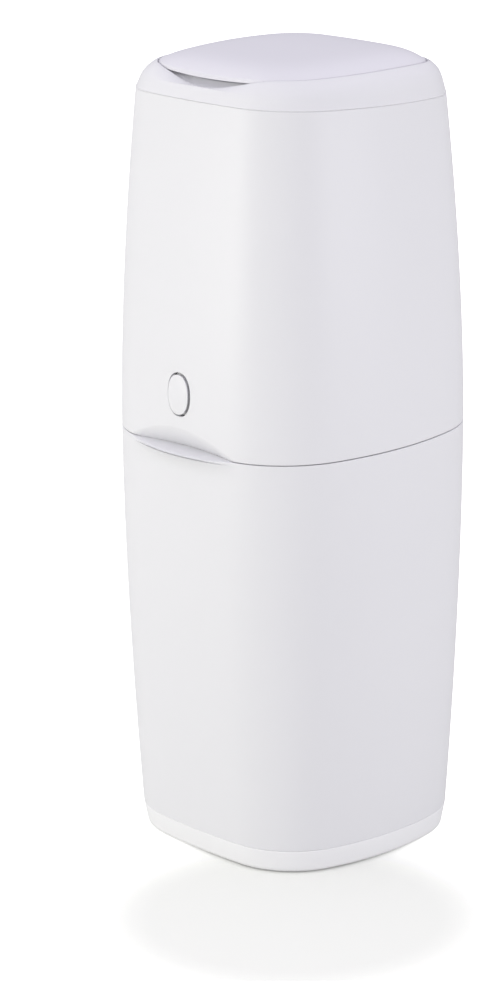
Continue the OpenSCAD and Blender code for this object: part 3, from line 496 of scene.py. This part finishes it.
def upperParts():
    s, wall, edge, chamfer = upper, barrel["wall"], barrel["edge"], upper["chamfer"]
    sill, top = heights["middleSeam"] + heights["groove"] / 2, heights["topSeam"]
    row, half, rows = buttonRow(), s["holeHalfHeight"], s["holeRows"]
    scoopRows = spread(0, scoop["height"] + s["scoopRoom"], s["scoopRows"])
    holeRows = spread(row - half, row + half, rows, True)
    outerRows = [(sill + a, i) for i, a in reversed(roundEdge(edge))]
    outerRows += [(sill + h, 0) for h in scoopRows if h > edge + s["rowGap"]]
    outerRows += [(sill + scoop["height"] + s["scoopRoom"], 0)]
    firstHoleRow = len(outerRows)
    outerRows += [(z, 0) for z in holeRows]
    outerRows += [(z, 0) for z in spread(row + half, top - edge, s["wallRows"])[1:]]
    outerRows += [(top - a, i) for i, a in roundEdge(edge)]
    rings = []
    for z, i in outerRows:
        rings.append(skin(z, i, lambda x: scoopIn(z - sill)(x) - i * inScoop(x),
                          lambda x: -scoop["close"] * inScoop(x) * max(0, 1 - (z - sill) / edge)))
    flange, flangeIn = top - s["flangeDown"], s["flangeIn"]
    rings += [skin(top, wall - chamfer), skin(top - chamfer, wall)]
    rings += [ring(flange, inset(flange) + wall), ring(flange, flangeIn - chamfer),
              ring(flange - chamfer, flangeIn), ring(flange - wall + chamfer, flangeIn),
              ring(flange - wall, flangeIn - chamfer), ring(flange - wall, inset(flange) + wall)]
    rings += [skin(z, wall) for z in spread(flange - wall - s["innerStart"], row + half, s["innerRows"])]
    firstInner = len(rings)
    rings += [skin(z, wall) for z in reversed(holeRows)]
    rings += [skin(sill + h, wall, scoopIn(h)) for h in reversed(scoopRows)]
    width = len(rings[0])
    middle = (plan["sideSteps"] * 2 + plan["backCornerSteps"] * 2 + plan["backSteps"]
              + plan["frontCornerSteps"] + plan["frontSteps"] // 2)
    c0, c1 = middle - s["holeHalfColumns"], middle + s["holeHalfColumns"]
    skip = {(first + r, c) for first in (firstHoleRow, firstInner)
            for r in range(rows) for c in range(c0, c1)}
    points, faces = loftParts(rings, joined=True, skip=skip)

    def addPoint(x, z, inward):
        level = z
        for _ in range(settlingSteps["hole"]):
            level = z + tilt(level) * (plan["depth"] / 2 - inset(level) - frontSag(x))
        points.append(wallPoint(x, level, inward))
        return len(points) - 1

    def bridge(a, b):
        n = len(a)
        for i in range(n):
            faces.append((a[i], a[(i + 1) % n], b[(i + 1) % n], b[i]))

    def border(first, down):  # indices round the opening in the grid, anticlockwise from the front
        start, end = first + (rows if down else 0), first + (0 if down else rows)
        step = -1 if down else 1
        bottom = [start * width + c for c in range(c0, c1)]
        right = [(start + step * k) * width + c1 for k in range(rows)]
        over = [end * width + c for c in range(c1, c0, -1)]
        left = [(end - step * k) * width + c0 for k in range(rows)]
        return bottom + right + over + left

    def patch(indices, inward, grow, count):  # rows of faces from the opening's border to the button's oval
        spots = [(points[i][0], points[i][2]) for i in indices]
        sx = max(abs(x) for x, z in spots)
        angles = [atan2((z - buttonZ) / half, x / sx) for x, z in spots]
        previous = indices
        for k in range(1, count + 1):
            share = (k / count) ** s["patchPower"]
            line = []
            for (x, z), angle in zip(spots, angles):
                ox, oz = oval(grow, angle)
                line.append(addPoint(x + (ox - x) * share, z + (buttonZ + oz - z) * share, inward))
            bridge(previous, line)
            previous = line
        return previous, angles

    turnRadius = button["holeRound"]
    line, angles = patch(border(firstHoleRow, False), 0, button["groove"] + turnRadius, s["patchRows"])
    for t in spread(0, pi / 2, s["holeEdgeSteps"], True)[1:]:
        nextLine = []
        for angle in angles:
            ox, oz = oval(button["groove"] + turnRadius * (1 - sin(t)), angle)
            nextLine.append(addPoint(ox, buttonZ + oz, turnRadius * (1 - cos(t))))
        bridge(line, nextLine)
        line = nextLine
    back, _ = patch(border(firstInner, True), wall, button["groove"], s["backPatchRows"])
    bridge(line, back)
    return points, faces


upperShell = addPiece("upperShell", *upperParts())
settle(upperShell, "upper", "shell_white", "upper_shell")
print("upper shell: %d faces" % len(upperShell.data.polygons))


def buttonParts():
    s, count = button, button["sides"]
    frontIn = -plan["depth"] / 2 + barrel["wall"] + inset(buttonZ)

    def flat(grow, y):
        return [(x, y, buttonZ + z) for x, z in (oval(grow, 2 * pi * i / count) for i in range(count))]

    def raised(share, out):
        line = []
        for i in range(count):
            x, z = oval(0, 2 * pi * i / count)
            x, z = share * x, buttonZ + share * z
            line.append((x, -plan["depth"] / 2 + inset(z) + frontSag(x) - out, z))
        return line

    rings = [flat(grow, frontIn + back) for grow, back in s["flange"]]
    rings += [raised(share, out) for share, out in s["rim"]]
    last, height = s["rim"][-1]
    rings += [raised(last * part, height + s["dome"] * (1 - part * part)) for part in s["domeRows"]]
    stem = pill(s["stemRadius"], frontIn + s["stemFrom"], frontIn + s["stemTo"], s["stemEdge"])
    return joinParts(loftParts(rings, ends=True), turned(stem, (0, 0, buttonZ), s["stemSides"], "y"))


releaseButton = addPiece("releaseButton", *buttonParts())
settle(releaseButton, "button", "shell_white", "release_button")
print("release button: built")


# The crown closes the upper half, from its shoulder to the ledge that the lid lies on.
# The shoulder is (share of the height, share of the way in), the edge of the gap round the lid (out, down).
# The reliefs are round holes in the two rear corners of the lid's opening.
crown = {"height": 22.0, "levelShare": 0.7, "lidIn": 31.2, "gap": 0.8, "rearReach": 0.05, "rearDrop": 2.4,
         "rearMore": 1.1, "rise": 0.011, "edge": 588.0, "lidUnder": 0.4, "ledgeUnder": 3.2, "ledge": 5.1,
         "deck": 559.0, "collar": 2.5,
         "shoulder": ((0, 0), (0.1, 0.05), (0.26, 0.13), (0.42, 0.21), (0.58, 0.32), (0.74, 0.48),
                      (0.88, 0.7), (0.97, 0.88), (1, 1)),
         "shoulderEnd": 0.985, "shoulderRows": 46,
         "gapEdge": ((0.45, 0.06), (0.2, 0.16), (0.06, 0.36), (0, 0.7)),
         "recessHalf": 68.0, "recessDepth": 11.6, "recessStart": 0.3, "recessPower": 0.8, "recessFloor": 0.86,
         "frontDrop": 1.6, "ledgeBack": 1.0, "ledgeRows": 12, "ledgePower": 1.5, "ledgeStart": 0.04,
         "ledgeRound": 0.3, "footUp": 0.9, "footDrop": 1.02, "mouthDown": 0.5, "mouthIn": 0.1,
         "deckRows": (18, 12, 6, 0), "deckFade": 25, "underDrop": 0.8, "innerRows": (0.88, 0.58, 0.26),
         "innerDown": 1.6, "innerOut": 0.6}
relief = {"radius": 2, "height": 20, "out": 0.6, "down": 2, "sides": 32}
hinge = {"y": 88.44, "z": 582.88724, "radius": 3.0, "half": 34.0, "lug": 6.0, "slip": 0.5, "seat": 0.7,
         "slotHalf": 45.5, "slotFront": 6.2, "slotBack": 9.0, "slotUp": 10.0, "lugFoot": 1.0, "lugSteps": 18,
         "blockMore": 3.0, "blockFront": 7.0, "blockBack": 3.4, "blockDown": 13.0, "blockEdge": 0.35,
         "edgeAngle": 30}
lidHalf = plan["depth"] / 2 - crown["lidIn"]
domeZ = crown["edge"] - crown["lidUnder"]  # the height of the lid's rim
ledgeZ = domeZ - crown["ledgeUnder"]
seatZ = hinge["z"] - hinge["radius"] - hinge["seat"]  # what the lid's barrel turns over


def recess(x):
    return cos(pi / 2 * x / crown["recessHalf"]) ** 2 if abs(x) < crown["recessHalf"] else 0.0


def rim(y):
    return crown["rise"] * y - crown["rearDrop"] * (max(0, y) / lidHalf) ** 2


def stretch(y, share):
    return y * (1 + share * crown["rearReach"]) if y > 0 else y


def crownRing(z, inward, rise, reach, rimShare, drop=0.0):
    line = []
    for x, y in outline(inward):
        y = stretch(y, reach)
        line.append((x, y, z + rise * y + rimShare * rim(y) - (drop * recess(x) if y < 0 else 0)))
    return line


def crownParts():
    s, top, wall, edge, more = crown, heights["topSeam"], barrel["wall"], barrel["edge"], crown["rearMore"]
    outer, inner = inset(top), s["lidIn"] - s["gap"]
    mouth = inner + s["ledge"]
    floor, back = s["recessDepth"] * s["recessFloor"], s["frontDrop"] + s["ledgeBack"]

    def fall(share):  # how deep the finger recess is on the way in
        start = s["recessStart"]
        return 0 if share < start else s["recessDepth"] * ((share - start) / (1 - start)) ** s["recessPower"]

    def shoulderRing(t, thick=0.0, down=0.0):
        share, z = smoothTable(s["shoulder"], t), top + s["height"] * t
        inward = outer + (inner - outer) * share + thick
        return crownRing(z - down, inward, tilt(z), share * more, share, fall(share))

    rings = [ring(top + a, outer + i, heights["topRise"]) for i, a in reversed(roundEdge(edge))]
    steps = spread(edge / s["height"], s["shoulderEnd"], s["shoulderRows"], True)
    rings += [shoulderRing(t) for t in steps[1:]]
    for inward, down in s["gapEdge"]:
        rings.append(crownRing(s["edge"] - down, inner - inward, 0, more, 1, s["recessDepth"]))
    rings.append(crownRing(ledgeZ + s["footUp"], inner, 0, more, 1, floor * s["footDrop"]))
    for share in spread(0, 1, s["ledgeRows"], True):
        drop = floor + (back - floor) * (share ** s["ledgePower"] * (1 - share) + share * share)
        rings.append(crownRing(ledgeZ + (s["ledgeRound"] if share == 0 else 0),
                               inner + s["ledge"] * max(share, s["ledgeStart"]), 0, more, 1, drop))
    rings.append(crownRing(ledgeZ - s["mouthDown"], mouth + s["mouthIn"], 0, more, 1, back))
    rings += [crownRing(s["deck"] + h, mouth, 0, more, h / s["deckFade"]) for h in s["deckRows"]]
    rings += [crownRing(s["deck"], mouth - s["collar"], 0, more, 0),
              crownRing(ledgeZ - wall, mouth - s["collar"], 0, more, 1, floor),
              crownRing(ledgeZ - wall, inner - wall, 0, more, 1, s["recessDepth"] * s["underDrop"])]
    rings += [shoulderRing(t, wall - s["innerOut"], s["innerDown"]) for t in s["innerRows"]]
    rings.append(ring(top, outer + wall, heights["topRise"]))
    return loftParts(rings, joined=True)


def hingeCarrier():  # the block under the lid's barrel, with a lug at each end of it
    s, y, z, r = hinge, hinge["y"], hinge["z"], hinge["radius"]
    wide = s["slotHalf"] + s["blockMore"]
    parts = [boxPart(-wide, wide, y - s["blockFront"], y + s["blockBack"], ledgeZ - s["blockDown"], seatZ)]
    profile = [(y - r, seatZ - s["lugFoot"]), (y + r, seatZ - s["lugFoot"])]
    profile += [(y + r * cos(a), z + r * sin(a)) for a in spread(0, pi, s["lugSteps"], True)]
    for side in (-1, 1):
        x = side * (s["half"] + s["slip"] + s["lug"] / 2)
        parts.append(prismPart(profile, x - s["lug"] / 2, x + s["lug"] / 2))
    return joinParts(*parts)


def cutCrown(piece):
    s = hinge
    cutPiece(piece, boxPart(-s["slotHalf"], s["slotHalf"], s["y"] - s["slotFront"], s["y"] + s["slotBack"],
                            seatZ, crown["edge"] + s["slotUp"]))
    reach = (plan["cornerRadius"] - crown["lidIn"] + relief["out"]) * cos(pi / 4)
    hole = [(relief["radius"], 0), (relief["radius"], relief["height"])]
    y, z = stretch(-cornerCentre[1] + reach, 1), ledgeZ - relief["down"]
    for side in (-1, 1):
        cutPiece(piece, turned(hole, (side * (cornerCentre[0] + reach), y, z), relief["sides"]))


crownPiece = addPiece("crownRim", *crownParts())
cutCrown(crownPiece)
settle(crownPiece, "upper", "shell_white", "crown")
carrier = addPiece("lidHingeCarrier", *hingeCarrier())
addBevel(carrier, hinge["blockEdge"], hinge["edgeAngle"])
carrier.modifiers.move(1, 0)  # the bevel comes before the even normals
settle(carrier, "upper", "shell_white")
print("crown: %d faces" % len(crownPiece.data.polygons))


# The lid is a dome on the crown's outline. Its rows are shares of that outline, and the rim is (share, up).
# The liner's rim is (share more than the liner's, up), and so is the seal round it.
lidShape = {"thickness": 3.0, "dome": 9.2, "power": 6.4, "skew": 0.22, "edge": 1.3, "edgeSteps": 7,
            "droop": 10,
            "underRows": (0.04, 0.2, 0.4, 0.6, 0.75, 0.86, 0.9, 0.95, 0.985),
            "rimRows": ((0.994, 0.1), (0.999, 0.35), (1, 0.7)),
            "topRows": (0.975, 0.965, 0.95, 0.93, 0.905, 0.88, 0.85, 0.81, 0.77, 0.72, 0.66, 0.6, 0.53, 0.45,
                        0.36, 0.27, 0.18, 0.09, 0.02),
            "rodEdge": 0.5, "rodSides": 40, "webFront": 0.4, "webDown": 1.2, "webEnd": 0.4,
            "webRear": ((2.8, -2.4), (2.8, 0.3), (0.2, 0.1))}
liner = {"share": 0.9, "drop": 12.0, "up": 4, "flatRows": (0.05, 0.5, 0.8), "flatUp": 2,
         "rim": ((-0.056, 2), (-0.051, 1.7), (-0.05, 0.5), (-0.046, 0.1), (-0.04, 0), (-0.01, 0),
                 (-0.004, 0.1), (0, 0.5), (0, 3)),
         "under": 3.08, "lip": 0.04, "innerUp": 4, "innerEnd": 0.3, "sealUp": 1,
         "seal": ((0.001, 0), (0.022, 0), (0.031, 0.25), (0.036, 0.6), (0.038, 1), (0.036, 1.4),
                  (0.031, 1.75), (0.022, 2), (0.001, 2))}


def lidPoint(x, y, share, down):
    s = lidShape
    top = domeZ + rim(y) + s["dome"] * (1 - share ** s["power"]) * (1 + s["skew"] * y / lidHalf)
    droop = crown["frontDrop"] * recess(x) * share ** s["droop"] if y < 0 else 0
    return x, y, top - droop - down


def lidRing(share, down):
    return [lidPoint(share * x, share * stretch(y, 1), share, down) for x, y in outline(crown["lidIn"])]


def lidParts():
    s, thick, edge = lidShape, lidShape["thickness"], lidShape["edge"]
    rings = [lidRing(share, thick) for share in s["underRows"]]
    rings += [lidRing(share, thick - up) for share, up in s["rimRows"]]
    for i, a in roundEdge(edge, s["edgeSteps"]):
        share = 1 - i / lidHalf
        rings.append(lidRing(share, a - (s["dome"] * (1 - share ** s["power"])) * (1 - i / edge)))
    rings += [lidRing(share, 0) for share in s["topRows"]]
    back = stretch(lidHalf, 1)
    rear = domeZ + rim(back)
    y, z, r, half = hinge["y"], hinge["z"], hinge["radius"], hinge["half"]
    profile = [(y, z + r), (y - r + s["webFront"], z - s["webDown"])]
    profile += [(back - inward, rear + up) for inward, up in s["webRear"]]
    web = prismPart(profile, -half + s["webEnd"], half - s["webEnd"])
    rod = turned(pill(r, -half, half, s["rodEdge"]), (0, y, z), s["rodSides"], "x")
    return joinParts(loftParts(rings, ends=True), rod, web)


def linerParts():
    s, r, z0 = liner, liner["share"], domeZ - lidShape["thickness"] - liner["drop"] + liner["up"]

    def level(share, z):
        return [(share * x, share * stretch(y, 1), z) for x, y in outline(crown["lidIn"])]

    rings = [level(share, z0 + s["flatUp"]) for share in s["flatRows"]]
    rings += [level(r + more, z0 + up) for more, up in s["rim"]]
    rings += [lidRing(r, s["under"]), lidRing(r - s["lip"], s["under"])]
    rings += [level(r - s["lip"], z0 + s["innerUp"]), level(s["innerEnd"], z0 + s["innerUp"])]
    seal = [level(r + out, z0 + s["sealUp"] + up) for out, up in s["seal"]]
    return loftParts(rings, ends=True), loftParts(seal, joined=True)


lidPiece = addPiece("lidDome", *lidParts())
settle(lidPiece, "lid", "lid_white", "lid")
linerMesh, sealMesh = linerParts()
lidLiner = addPiece("lidLiner", *linerMesh)
settle(lidLiner, "lid", "shell_white", "lid_liner")
lidSeal = addPiece("lidSeal", *sealMesh)
settle(lidSeal, "lid", "seal", "lid_seal")
print("lid: dome, liner and seal")


# The springs are coils, each in the box of the node it replaces. The flat turns at their ends lie closed.
springs = {"sides": 8, "steps": 20, "flatTurns": 0.75,
           "jaw": {"wire": 0.9, "turns": 9.0}, "button": {"wire": 0.7, "turns": 3.2}}


def coilParts(low, high, along, spot, kind):
    wire, turns, flat = kind["wire"], kind["turns"], springs["flatTurns"]
    radius, count = (high[2] - low[2]) / 2 - wire / 2, int(kind["turns"] * springs["steps"])
    rings = []
    for k in range(count + 1):
        done = min(1, max(0, (turns * k / count - flat) / (turns - 2 * flat)))
        far = low[along] + wire / 2 + (high[along] - low[along] - wire) * done
        turn, row = 2 * pi * turns * k / count, []
        for n in range(springs["sides"]):
            a = 2 * pi * n / springs["sides"]
            out, d = radius + wire / 2 * cos(a), far + wire / 2 * sin(a)
            across, up = spot + out * cos(turn), (low[2] + high[2]) / 2 + out * sin(turn)
            row.append((d, across, up) if along == 0 else (across, d, up))
        rings.append(row)
    return loftParts(rings, ends=True)


def jointReach(name):
    joints = {joint["name"]: joint for joint in frame["record"]["behaviour"]["joints"]}
    return joints[name]["range_m"][1] / mm


def springPiece(name, node, joint, along, atHigh, kind, pair):  # a pair lies side by side in its node's box
    low, high = [[c / mm for c in corner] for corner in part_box(node)]
    reach = (high[1] - low[1]) / 2 - (high[2] - low[2]) / 2
    spots = (-reach, reach) if pair else ((low[0] + high[0]) / 2,)
    piece = addPiece(name, *joinParts(*[coilParts(low, high, along, spot, kind) for spot in spots]))
    settle(piece, "upper", "steel", node)
    axis, anchor = [0, 0, 0], [0, 0, 0]
    axis[along], anchor[along] = 1, (high if atHigh else low)[along] * mm
    keep = 1 - jointReach(joint) / (high[along] - low[along])
    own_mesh(piece)


springPiece("leftJawSprings", "jaw_spring_left", "jaw_left_slide", 0, False, springs["jaw"], True)
springPiece("rightJawSprings", "jaw_spring_right", "jaw_right_slide", 0, True, springs["jaw"], True)
springPiece("buttonSpring", "button_spring", "button_press", 1, True, springs["button"], False)
print("springs: three")


class Term:  # a socket that takes part in sums
    def __init__(self, tree, socket):
        self.tree, self.socket = tree, socket

    def sum(self, operation, *values):
        return addNode(self.tree, "ShaderNodeMath", {"operation": operation}, dict(enumerate(values)))

    def __add__(self, other):
        return self.sum("ADD", self, other)

    def __radd__(self, other):
        return self.sum("ADD", other, self)

    def __sub__(self, other):
        return self.sum("SUBTRACT", self, other)

    def __rsub__(self, other):
        return self.sum("SUBTRACT", other, self)

    def __mul__(self, other):
        return self.sum("MULTIPLY", self, other)

    def __rmul__(self, other):
        return self.sum("MULTIPLY", other, self)

    def most(self, other):
        return self.sum("MAXIMUM", self, other)


def addNode(tree, kind, settings=None, values=None, take=0):  # take is the output that is used
    node = tree.nodes.new(kind)
    for key, value in (settings or {}).items():
        setattr(node, key, value)
    for key, value in (values or {}).items():
        if isinstance(value, Term):
            tree.links.new(value.socket, node.inputs[key])
        else:
            node.inputs[key].default_value = value
    return Term(tree, node.outputs[take])


def mixColours(tree, share, first, second):  # on a Mix node for colours, 6 and 7 are A and B
    return addNode(tree, "ShaderNodeMix", {"data_type": "RGBA"}, {0: share, 6: first, 7: second}, 2)


class Finish:  # one material, with its shader and a way to add nodes
    def __init__(self, name, **fixed):
        self.material = bpy.data.materials.new(name)
        self.material.use_nodes = True
        self.tree = self.material.node_tree
        self.tree.nodes.clear()
        self.shader = self.tree.nodes.new("ShaderNodeBsdfPrincipled")
        self.output = self.tree.nodes.new("ShaderNodeOutputMaterial")
        self.tree.links.new(self.shader.outputs[0], self.output.inputs[0])
        for socket, value in fixed.items():
            self.shader.inputs[socket.replace("_", " ")].default_value = value

    def node(self, kind, settings=None, values=None, take=0):
        return addNode(self.tree, kind, settings, values, take)

    def feed(self, socket, term):
        self.tree.links.new(term.socket, self.shader.inputs[socket])

    def place(self):  # the place on the piece, in metres
        return self.node("ShaderNodeTexCoord", take=3)

    def noise(self, scale, detail, rough=0.5, at=None):
        return self.node("ShaderNodeTexNoise", None, {"Vector": at or self.place(), "Scale": scale,
                                                      "Detail": detail, "Roughness": rough})

    def mix(self, share, first, second):
        return mixColours(self.tree, share, first, second)

    def bump(self, height, strength, distance):
        self.feed("Normal", self.node("ShaderNodeBump", None,
                                      {"Height": height, "Strength": strength, "Distance": distance}))


def shade(red, green, blue):  # a colour as seen on screen, turned into the shader's own
    def one(v):
        v = v / 255
        return v / 12.92 if v <= 0.04045 else ((v + 0.055) / 1.055) ** 2.4
    return one(red), one(green), one(blue), 1.0


# Noise scales are per metre, and bumps are in metres. The outer plastics are smooth, the inner ones matt.
moulding = {"ior": 1.49, "cloudScale": 7, "fineScale": 4.3, "grainGloss": 0.06, "grainShare": 0.6,
            "fineShare": 0.4,
            "smooth": {"gloss": 0.35, "coat": 0.05, "coatRoughness": 0.25, "grainScale": 900, "mottle": 0.02,
                       "roughness": 0.44, "patches": 0.08, "bumpStrength": 0.12, "bump": 0.00004},
            "matt": {"gloss": 0.4, "coat": 0.0, "coatRoughness": 0.3, "grainScale": 1400, "mottle": 0.06,
                     "roughness": 0.52, "patches": 0.1, "bumpStrength": 0.35, "bump": 0.00008}}
# The plastics by slot: the name of the finish, its colour as seen on screen, and its kind.
plastics = {"shell_white": ("shellWhite", (233, 233, 236), "smooth"),
            # the plinth's white is brighter than the shell's: painted light for the light that the floor
            # throws onto the base
            "plinth_white": ("plinthWhitePaintedLight", (246, 246, 248), "smooth"),
            # the lid's white is a little darker and bluer than the shell's: painted shade for its top, which
            # catches less light
            "lid_white": ("lidWhitePaintedShade", (231, 230, 236), "smooth"),
            "grey_plastic": ("greyPlastic", (150, 153, 160), "matt"),
            "tub_grey": ("tubGrey", (178, 180, 187), "matt"),
            "cap_blue": ("capBlue", (48, 58, 110), "matt")}


def mouldedPlastic(name, colour, kind):
    m, s, colour = moulding, moulding[kind], shade(*colour)
    finish = Finish(name, Specular_IOR_Level=s["gloss"], IOR=m["ior"], Coat_Weight=s["coat"],
                    Coat_Roughness=s["coatRoughness"])
    cloud, grain = finish.noise(m["cloudScale"], 3), finish.noise(s["grainScale"], 4, 0.6)
    fine = finish.noise(s["grainScale"] * m["fineScale"], 2)
    dark = tuple(c * (1 - s["mottle"]) for c in colour[:3]) + (1,)
    finish.feed("Base Color", finish.mix(cloud, dark, colour))
    finish.feed("Roughness", s["roughness"] + s["patches"] * (cloud - 0.5) + m["grainGloss"] * (grain - 0.5))
    finish.bump(grain * m["grainShare"] + fine * m["fineShare"], s["bumpStrength"], s["bump"])
    return finish.material


steel = {"streaks": (60, 900, 900), "cloudScale": 160, "dark": (168, 171, 178), "light": (198, 200, 204),
         "roughness": 0.26, "streakRough": 0.14, "cloudRough": 0.1, "bumpStrength": 0.25, "bump": 0.00003}


def steelFinish():
    s = steel
    finish = Finish("zincSteel", Metallic=1.0, Specular_IOR_Level=0.5)
    long = finish.node("ShaderNodeMapping", None, {"Vector": finish.place(), "Scale": s["streaks"]})
    lines, cloud = finish.noise(1, 3, 0.6, long), finish.noise(s["cloudScale"], 3)
    finish.feed("Base Color", finish.mix(cloud, shade(*s["dark"]), shade(*s["light"])))
    finish.feed("Roughness", s["roughness"] + s["streakRough"] * lines + s["cloudRough"] * cloud)
    finish.bump(lines, s["bumpStrength"], s["bump"])
    return finish.material


rubber = {"feet": (44, 44, 46), "feetRoughness": 0.62, "seal": (132, 133, 140), "sealRoughness": 0.55,
          "speckScale": 2200, "cloudScale": 70, "lighter": 1.18, "patches": 0.12, "bumpStrength": 0.4,
          "bump": 0.00008}


def rubberFinish(name, colour, roughness):
    s = rubber
    finish = Finish(name, Specular_IOR_Level=0.3)
    speck, cloud = finish.noise(s["speckScale"], 3, 0.7), finish.noise(s["cloudScale"], 3)
    finish.feed("Base Color", finish.mix(cloud, shade(*colour), shade(*(c * s["lighter"] for c in colour))))
    finish.feed("Roughness", roughness + s["patches"] * (cloud - 0.5))
    finish.bump(speck, s["bumpStrength"], s["bump"])
    return finish.material


# The film's colour follows its folds, darker in their hollows and lighter on their crests: painted shade and
# painted highlight of the folds.
film = {"folds": 320, "crumple": 5, "dark": (196, 204, 226), "light": (224, 229, 240), "roughness": 0.3,
        "foldRough": 0.2, "bumpStrength": 0.6, "bump": 0.0004}


def filmFinish():
    s = film
    finish = Finish("foldedFilmPaintedShade", Specular_IOR_Level=0.5, Coat_Weight=0.2)
    folds = finish.node("ShaderNodeTexWave", {"wave_type": "BANDS", "bands_direction": "Z"},
                        {"Vector": finish.place(), "Scale": s["folds"], "Distortion": s["crumple"],
                         "Detail": 3}, 1)
    # painted fold shade: the dark colour in the hollows, the light one on the crests
    finish.feed("Base Color", finish.mix(folds, shade(*s["dark"]), shade(*s["light"])))
    finish.feed("Roughness", s["roughness"] + s["foldRough"] * folds)
    finish.bump(folds, s["bumpStrength"], s["bump"])
    return finish.material


finishes = {slot: mouldedPlastic(*facts) for slot, facts in plastics.items()}
finishes["rubber"] = rubberFinish("blackRubber", rubber["feet"], rubber["feetRoughness"])
finishes["seal"] = rubberFinish("greySeal", rubber["seal"], rubber["sealRoughness"])
finishes["steel"] = steelFinish()
finishes["film"] = filmFinish()

# The rounds that moulded and bent parts have on their edges, put on the solids that show.
edges = {"hinge_leaf_lower": 0.6, "hinge_leaf_upper": 0.6, "inner_deck": 0.5, "clamp_frame": 0.7,
         "clamp_cover": 0.5, "jaw_left": 0.4, "jaw_right": 0.4, "cassette_tub": 0.35, "cassette_core": 0.3,
         "cassette_cap": 0.35, "latch_bracket": 0.35, "latch_lever": 0.4, "latch_keeper": 0.3,
         "cutter_housing": 0.4}
edgeAngles = {"flat": 0.5, "bevel": 32}
slotOf = {part["node"]: part["material_slot"] for part in frame["record"]["subparts"]}


def giveFinish(piece, slot):
    piece.data.materials.clear()
    piece.data.materials.append(finishes[slot])


def dressNode(name, solid):
    giveFinish(solid, slotOf[name])
    solid.modifiers.new("weld", "WELD").merge_threshold = meshing["weld"]
    if name in edges:
        flat = solid.modifiers.new("flat", "DECIMATE")
        flat.decimate_type, flat.angle_limit = "DISSOLVE", radians(edgeAngles["flat"])
        addBevel(solid, edges[name], edgeAngles["bevel"])
    evenNormals(solid)


for name, solid in nodes.items():
    dressNode(name, solid)
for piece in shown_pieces():
    if "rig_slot" in piece:
        giveFinish(piece, piece["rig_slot"])
print("finishes: %d" % len(finishes))


# The floor glows white for the camera, apart from a painted shadow: a pool in front of the bin where it glows
# less and the floor shows grey. Places are in metres.
studio = {"floorHalf": 30, "floor": (0.72, 0.73, 0.69), "shadowedGlow": 0.2, "paintedShadowMiddle": (0.142, -0.13, 0),
          "paintedShadowEdge": (0.1, 0.228), "horizon": 0.15, "zenith": 1.32, "sky": (0.95, 0.93, 1.0),
          "white": (1, 1, 1)}
lamps = {"key": {"place": (-1.0, -2.4, 0.3), "size": (1.5, 0.6), "power": 21.5, "colour": (1, 1, 0.92)},
         "high": {"place": (-0.6, -2.1, 1.5), "size": (1.3, 0.9), "power": 5, "colour": (1, 1, 0.91)},
         "side": {"place": (2.4, 0.5, 0.45), "size": (1.5, 0.6), "power": 15, "colour": (1, 0.99, 1)}}
lampAim = (0, 0, 0.33)


def makeFloor():
    half = studio["floorHalf"]
    mesh = bpy.data.meshes.new("floor")
    corners = [(-half, -half, 0), (half, -half, 0), (half, half, 0), (-half, half, 0)]
    mesh.from_pydata(corners, [], [(0, 1, 2, 3)])
    floor = addObject("floor", mesh)
    finish = Finish("paleFloorPaintedShadow", Base_Color=(*studio["floor"], 1), Specular_IOR_Level=0.1, Roughness=0.9)
    seen = finish.node("ShaderNodeLightPath")  # Is Camera Ray
    fromPaintedShadow = finish.node("ShaderNodeVectorMath", {"operation": "DISTANCE"},
                       {0: finish.place(), 1: studio["paintedShadowMiddle"]}, 1)
    near, far = studio["paintedShadowEdge"]
    # painted shadow: the glow is least in the middle of the pool and full beyond its edge
    share = finish.node("ShaderNodeMapRange", {"interpolation_type": "SMOOTHSTEP"},
                        {"Value": fromPaintedShadow, "From Min": near, "From Max": far,
                         "To Min": studio["shadowedGlow"], "To Max": 1.0})
    shadowedGlow = finish.node("ShaderNodeEmission", None, {"Strength": seen * share})
    lit = Term(finish.tree, finish.shader.outputs[0])
    both = finish.node("ShaderNodeAddShader", None, {0: lit, 1: shadowedGlow})
    finish.tree.links.new(both.socket, finish.output.inputs[0])
    mesh.materials.append(finish.material)


def makeWorld():  # a sky that is brightest overhead, and plain white where the camera sees it
    world = bpy.data.worlds.new("studio")
    bpy.context.scene.world = world
    world.use_nodes = True
    tree = world.node_tree
    back = tree.nodes["Background"]
    seen = addNode(tree, "ShaderNodeLightPath")  # Is Camera Ray
    colour = mixColours(tree, seen, (*studio["sky"], 1), (*studio["white"], 1))
    way = addNode(tree, "ShaderNodeTexCoord")  # the direction, which the world has in its first output
    up = addNode(tree, "ShaderNodeSeparateXYZ", None, {0: way}, 2).most(0)
    level = studio["horizon"] - (studio["horizon"] - studio["zenith"]) * up
    level = level + (1 - level) * seen
    tree.links.new(colour.socket, back.inputs["Color"])
    tree.links.new(level.socket, back.inputs["Strength"])


def makeLamp(name, lamp):
    light = bpy.data.lights.new(name, "AREA")
    light.shape, light.energy, light.color = "RECTANGLE", lamp["power"], lamp["colour"]
    light.size, light.size_y = lamp["size"]
    thing = addObject(name, light)
    thing.location = lamp["place"]
    thing.rotation_euler = (Vector(lampAim) - Vector(lamp["place"])).to_track_quat("-Z", "Y").to_euler()


makeFloor()
makeWorld()
for name, lamp in lamps.items():
    makeLamp(name, lamp)
bpy.context.scene.view_settings.view_transform = "Standard"
print("studio: floor, world and %d lamps" % len(lamps))
